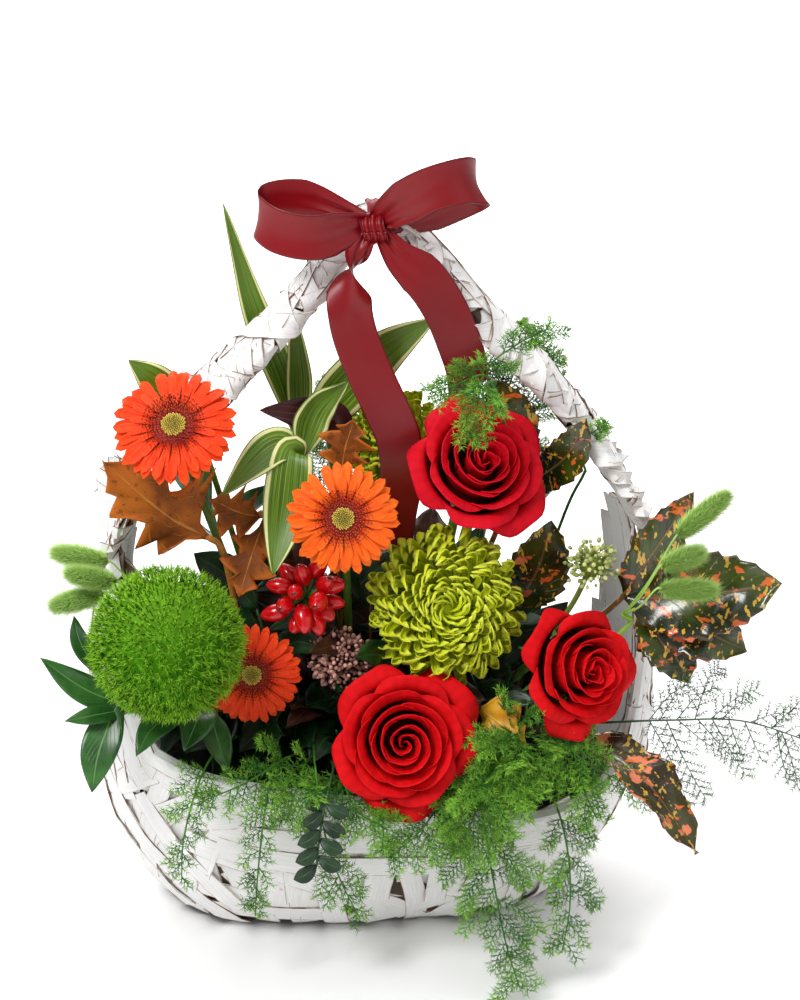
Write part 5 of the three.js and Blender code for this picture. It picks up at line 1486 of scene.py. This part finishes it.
def makeBuds():
    for name, head in buds.items():
        rng = np.random.default_rng(head["count"])
        heap = Heap()
        centre = np.array(head["centre"], float)
        stemTo(heap, [centre, *head["by"]], head["spot"], "bud")
        out = spread(head["count"], 1.3) @ turnTo(head["facing"])
        places = centre + out * (head["radius"] * rng.uniform(0.6, 1.15, head["count"]))[:, None]
        balls(heap, places, rng.uniform(0.95, 1.5, head["count"]), 1.25, out, rings=5,
              tone=rng.uniform(0.1, 1, head["count"]))
        needles(heap, centre + out * head["radius"] * 0.35, places, 0.5)
        balls(heap, [centre], head["radius"] * 0.5, rings=8, tone=-0.1)
        heap.piece(f"{name}Buds", [name], head["slot"], [finishes[head["finish"]]])


makeBerries()
makeBuds()
print("berries and buds made")


ferns = {
    "fern_right": {
        "spot": (78, -16), "facing": (0, -0.9, 0.5), "reach": 46, "from": 0.36, "shoots": 10,
        "apart": 2.1, "slot": "fern_dark", "finish": "fernDark",
        "path": [(112, -54, 122), (136, -80, 135), (166, -91, 140), (206, -97, 140), (252, -103, 124)]},
    "fern_top": {
        "spot": (36, 23), "facing": (0, -1, 0.3), "reach": 42, "from": 0.2,
        "path": [(58, 26, 200), (76, 34, 260), (90, 36, 300), (104, 36, 330)]},
    "fern_left": {
        "spot": (-60, -33), "facing": (-0.2, -0.9, 0.3), "reach": 17, "from": 0.3, "shoots": 7,
        "path": [(-78, -58, 126), (-92, -92, 132), (-102, -112, 122), (-110, -120, 96), (-112, -124, 72)]},
    "fern_front_left": {
        "spot": (-49, -36), "facing": (0, -1, 0.3), "reach": 14, "from": 0.3, "shoots": 9,
        "path": [(-54, -66, 122), (-60, -102, 126), (-66, -118, 104), (-70, -122, 72), (-72, -124, 48)]},
    "fern_front": {
        "spot": (-24, -37), "facing": (0, -1, 0.3), "reach": 22, "from": 0.3, "shoots": 9,
        "path": [(-34, -66, 123), (-36, -104, 126), (-32, -118, 92), (-24, -123, 66), (-14, -125, 44)]},
    "fern_front_right": {
        "spot": (24, -37), "facing": (0, -0.9, 0.5), "reach": 32, "from": 0.3, "shoots": 11,
        "path": [(48, -64, 106), (56, -100, 98), (60, -122, 68), (66, -138, 32), (72, -154, 11)]},
    "fern_low_right": {
        "spot": (38, -37), "facing": (0.2, -0.9, 0.4), "reach": 24, "from": 0.3, "shoots": 9,
        "path": [(84, -62, 104), (98, -92, 96), (104, -112, 74), (104, -126, 46), (98, -138, 22)]},
    "fern_back_left": {
        "spot": (-20, 36), "facing": (0, 1, 0.3), "reach": 40, "from": 0.2,
        "path": [(-14, 62, 140), (-8, 88, 190), (-4, 104, 240), (0, 108, 276)]},
    "fern_back_right": {
        "spot": (16, 36), "facing": (0, 1, 0.3), "reach": 32, "from": 0.2,
        "path": [(20, 66, 132), (24, 104, 136), (30, 124, 110), (36, 132, 76), (40, 136, 44)]},
}
# more fronds over the front rim and round the top rose, each from near the foam: path, reach and shoots
sprays = [
    ([(60, -50, 110), (76, -88, 136), (70, -104, 132), (56, -118, 112)], 36, 16),
    ([(70, -50, 110), (94, -86, 140), (112, -100, 124), (150, -110, 102)], 22, 14),
    ([(46, -50, 110), (58, -100, 124), (52, -116, 104), (40, -124, 80)], 34, 14),
    ([(30, -50, 108), (34, -98, 104), (20, -118, 92), (2, -124, 80)], 24, 11),
    ([(-40, -48, 108), (-52, -92, 128), (-76, -112, 124), (-106, -120, 116)], 20, 9),
    ([(-30, -48, 108), (-40, -90, 124), (-48, -110, 116), (-54, -118, 102)], 22, 9),
    ([(-12, -48, 108), (-20, -92, 116), (-14, -112, 104), (2, -122, 96)], 24, 10),
    ([(84, -46, 108), (100, -84, 120), (112, -104, 108), (120, -112, 92)], 20, 9),
    ([(76, -40, 301), (63, -60, 339), (78, -62, 355), (96, -60, 363)], 15, 8),
    ([(71, -50, 319), (61, -64, 339), (45, -66, 335), (31, -64, 330)], 14, 8),
    ([(69, -50, 331), (60, -74, 337), (56, -84, 326), (50, -86, 310)], 17, 9),
    ([(125, -20, 264), (120, -30, 280), (125, -34, 291), (133, -34, 297)], 10, 6),
]
needle = {"long": (2.2, 4.0), "thick": 0.3, "apart": 1.25}
lowest = 2.5  # no shoot goes nearer to the floor


def plume(store, twig, lift, size, rng, tone, apart):
    # one shoot: fine branchlets left and right, each with needles all round
    count = max(6, int(size / apart / 1.2))
    share = (np.arange(count) + 0.5) / count
    spots, ahead = alongCurve(twig, share)
    hand = np.where(np.arange(count) % 2, 1.0, -1.0)[:, None]
    cross = unit(np.cross(lift, ahead)) * hand
    branch = unit(ahead * rng.uniform(0.7, 1.1, (count, 1)) + cross + lift * rng.normal(0, 0.35, (count, 1)))
    long = (2.5 + 0.2 * size * np.sin(math.pi * (0.22 + share * 0.72))) * rng.uniform(0.75, 1.2, count)
    store.append((spots, spots + branch * long[:, None], np.full(count, tone - 0.2)))
    steps = max(3, int(long.max() / apart))
    for m in range(steps):
        along = (m + 0.5) / steps
        foot = spots + branch * (long * along)[:, None]
        for side in (-1, 1):
            way = unit(branch + np.cross(branch, lift) * side * 0.8 + rng.normal(0, 0.38, (count, 3)))
            reach = rng.uniform(*needle["long"], count)[:, None]
            shade = tone + 0.45 * share + 0.25 * along + rng.uniform(-0.2, 0.2, count)
            store.append((foot, foot + way * reach, shade))


def frond(heap, path, facing, reach, first, shoots, rng, tone=0.0, apart=needle["apart"]):
    # a stem with curved shoots that get shorter and droop towards its tip
    tube(heap, path, 0.8, sides=6, steps=30, tip=0.4, tone=0.1)
    facing = np.array(facing, float)
    store = []
    for k in range(shoots * 2):
        share = (k // 2 + rng.uniform(0, 0.9)) / shoots
        hand = 1 if k % 2 else -1
        place, heading = alongCurve(path, first + (0.98 - first) * share)
        across = unit(np.cross(facing, heading)) * hand
        lift = unit(np.cross(heading, across) * hand)
        size = reach * (1 - 0.55 * share) * rng.uniform(0.65, 1.2)
        slant = rng.uniform(0.55, 1.15)
        way = unit(heading * math.cos(slant) + across * math.sin(slant) + lift * rng.uniform(-0.1, 0.35))
        droop = np.array((0, 0, -1.0)) * size * rng.uniform(0.0, 0.22)
        sway = across * size * rng.uniform(-0.14, 0.06)
        twig = [place, place + way * size * 0.52 + droop * 0.2 - sway, place + way * size + droop]
        twig = [np.append(spot[:2], max(spot[2], lowest)) for spot in twig]
        tube(heap, twig, 0.36, sides=4, steps=6, tip=0.4, tone=0.1)
        plume(store, twig, lift, size, rng, tone + rng.uniform(-0.25, 0.25), apart)
    place, heading = alongCurve(path, 0.8)
    end = np.array(path[-1], float)
    plume(store, [place, (place + end) / 2, end], unit(facing), reach * 0.6, rng, tone + 0.2, apart)
    roots, tips, tones = (np.concatenate([part[k] for part in store]) for k in range(3))
    above = (tips[:, 2] > 1.5) & (roots[:, 2] > 2)  # the floor ends the needles
    needles(heap, roots[above], tips[above], needle["thick"], tones[above])


def makeFerns():
    for order, (name, fern) in enumerate(ferns.items()):
        rng = np.random.default_rng(40 + order)
        heap = Heap()
        stemTo(heap, fern["path"][:1], fern["spot"], "fern")
        frond(heap, fern["path"], fern["facing"], fern["reach"], fern["from"], fern.get("shoots", 17), rng,
              apart=fern.get("apart", needle["apart"]))
        heap.piece(f"{name}Frond", [name], fern.get("slot", "fern"), [finishes[fern.get("finish", "fern")]])
    for order, (path, reach, shoots) in enumerate(sprays):
        rng = np.random.default_rng(70 + order)
        heap = Heap()
        first = np.array(path[0], float)
        foot = (first[0] * 0.6, first[1] * 0.3, foamTop + 4)
        tube(heap, [first, first * (0.9, 0.7, 0.85) + (0, 6, 0), foot], 0.9, sides=6)
        frond(heap, path, (0, -1, 0.4), reach, 0.3, shoots, rng, 0.1)
        heap.piece(f"spray_{order + 1}", [], "fern", [finishes["fern"]])


makeFerns()
print("ferns made")


for node in ("tray", "foam"):  # they keep their CAD shape
    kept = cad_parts[node]
    kept.data.materials.clear()
    kept.data.materials.append(finishes[node].material)
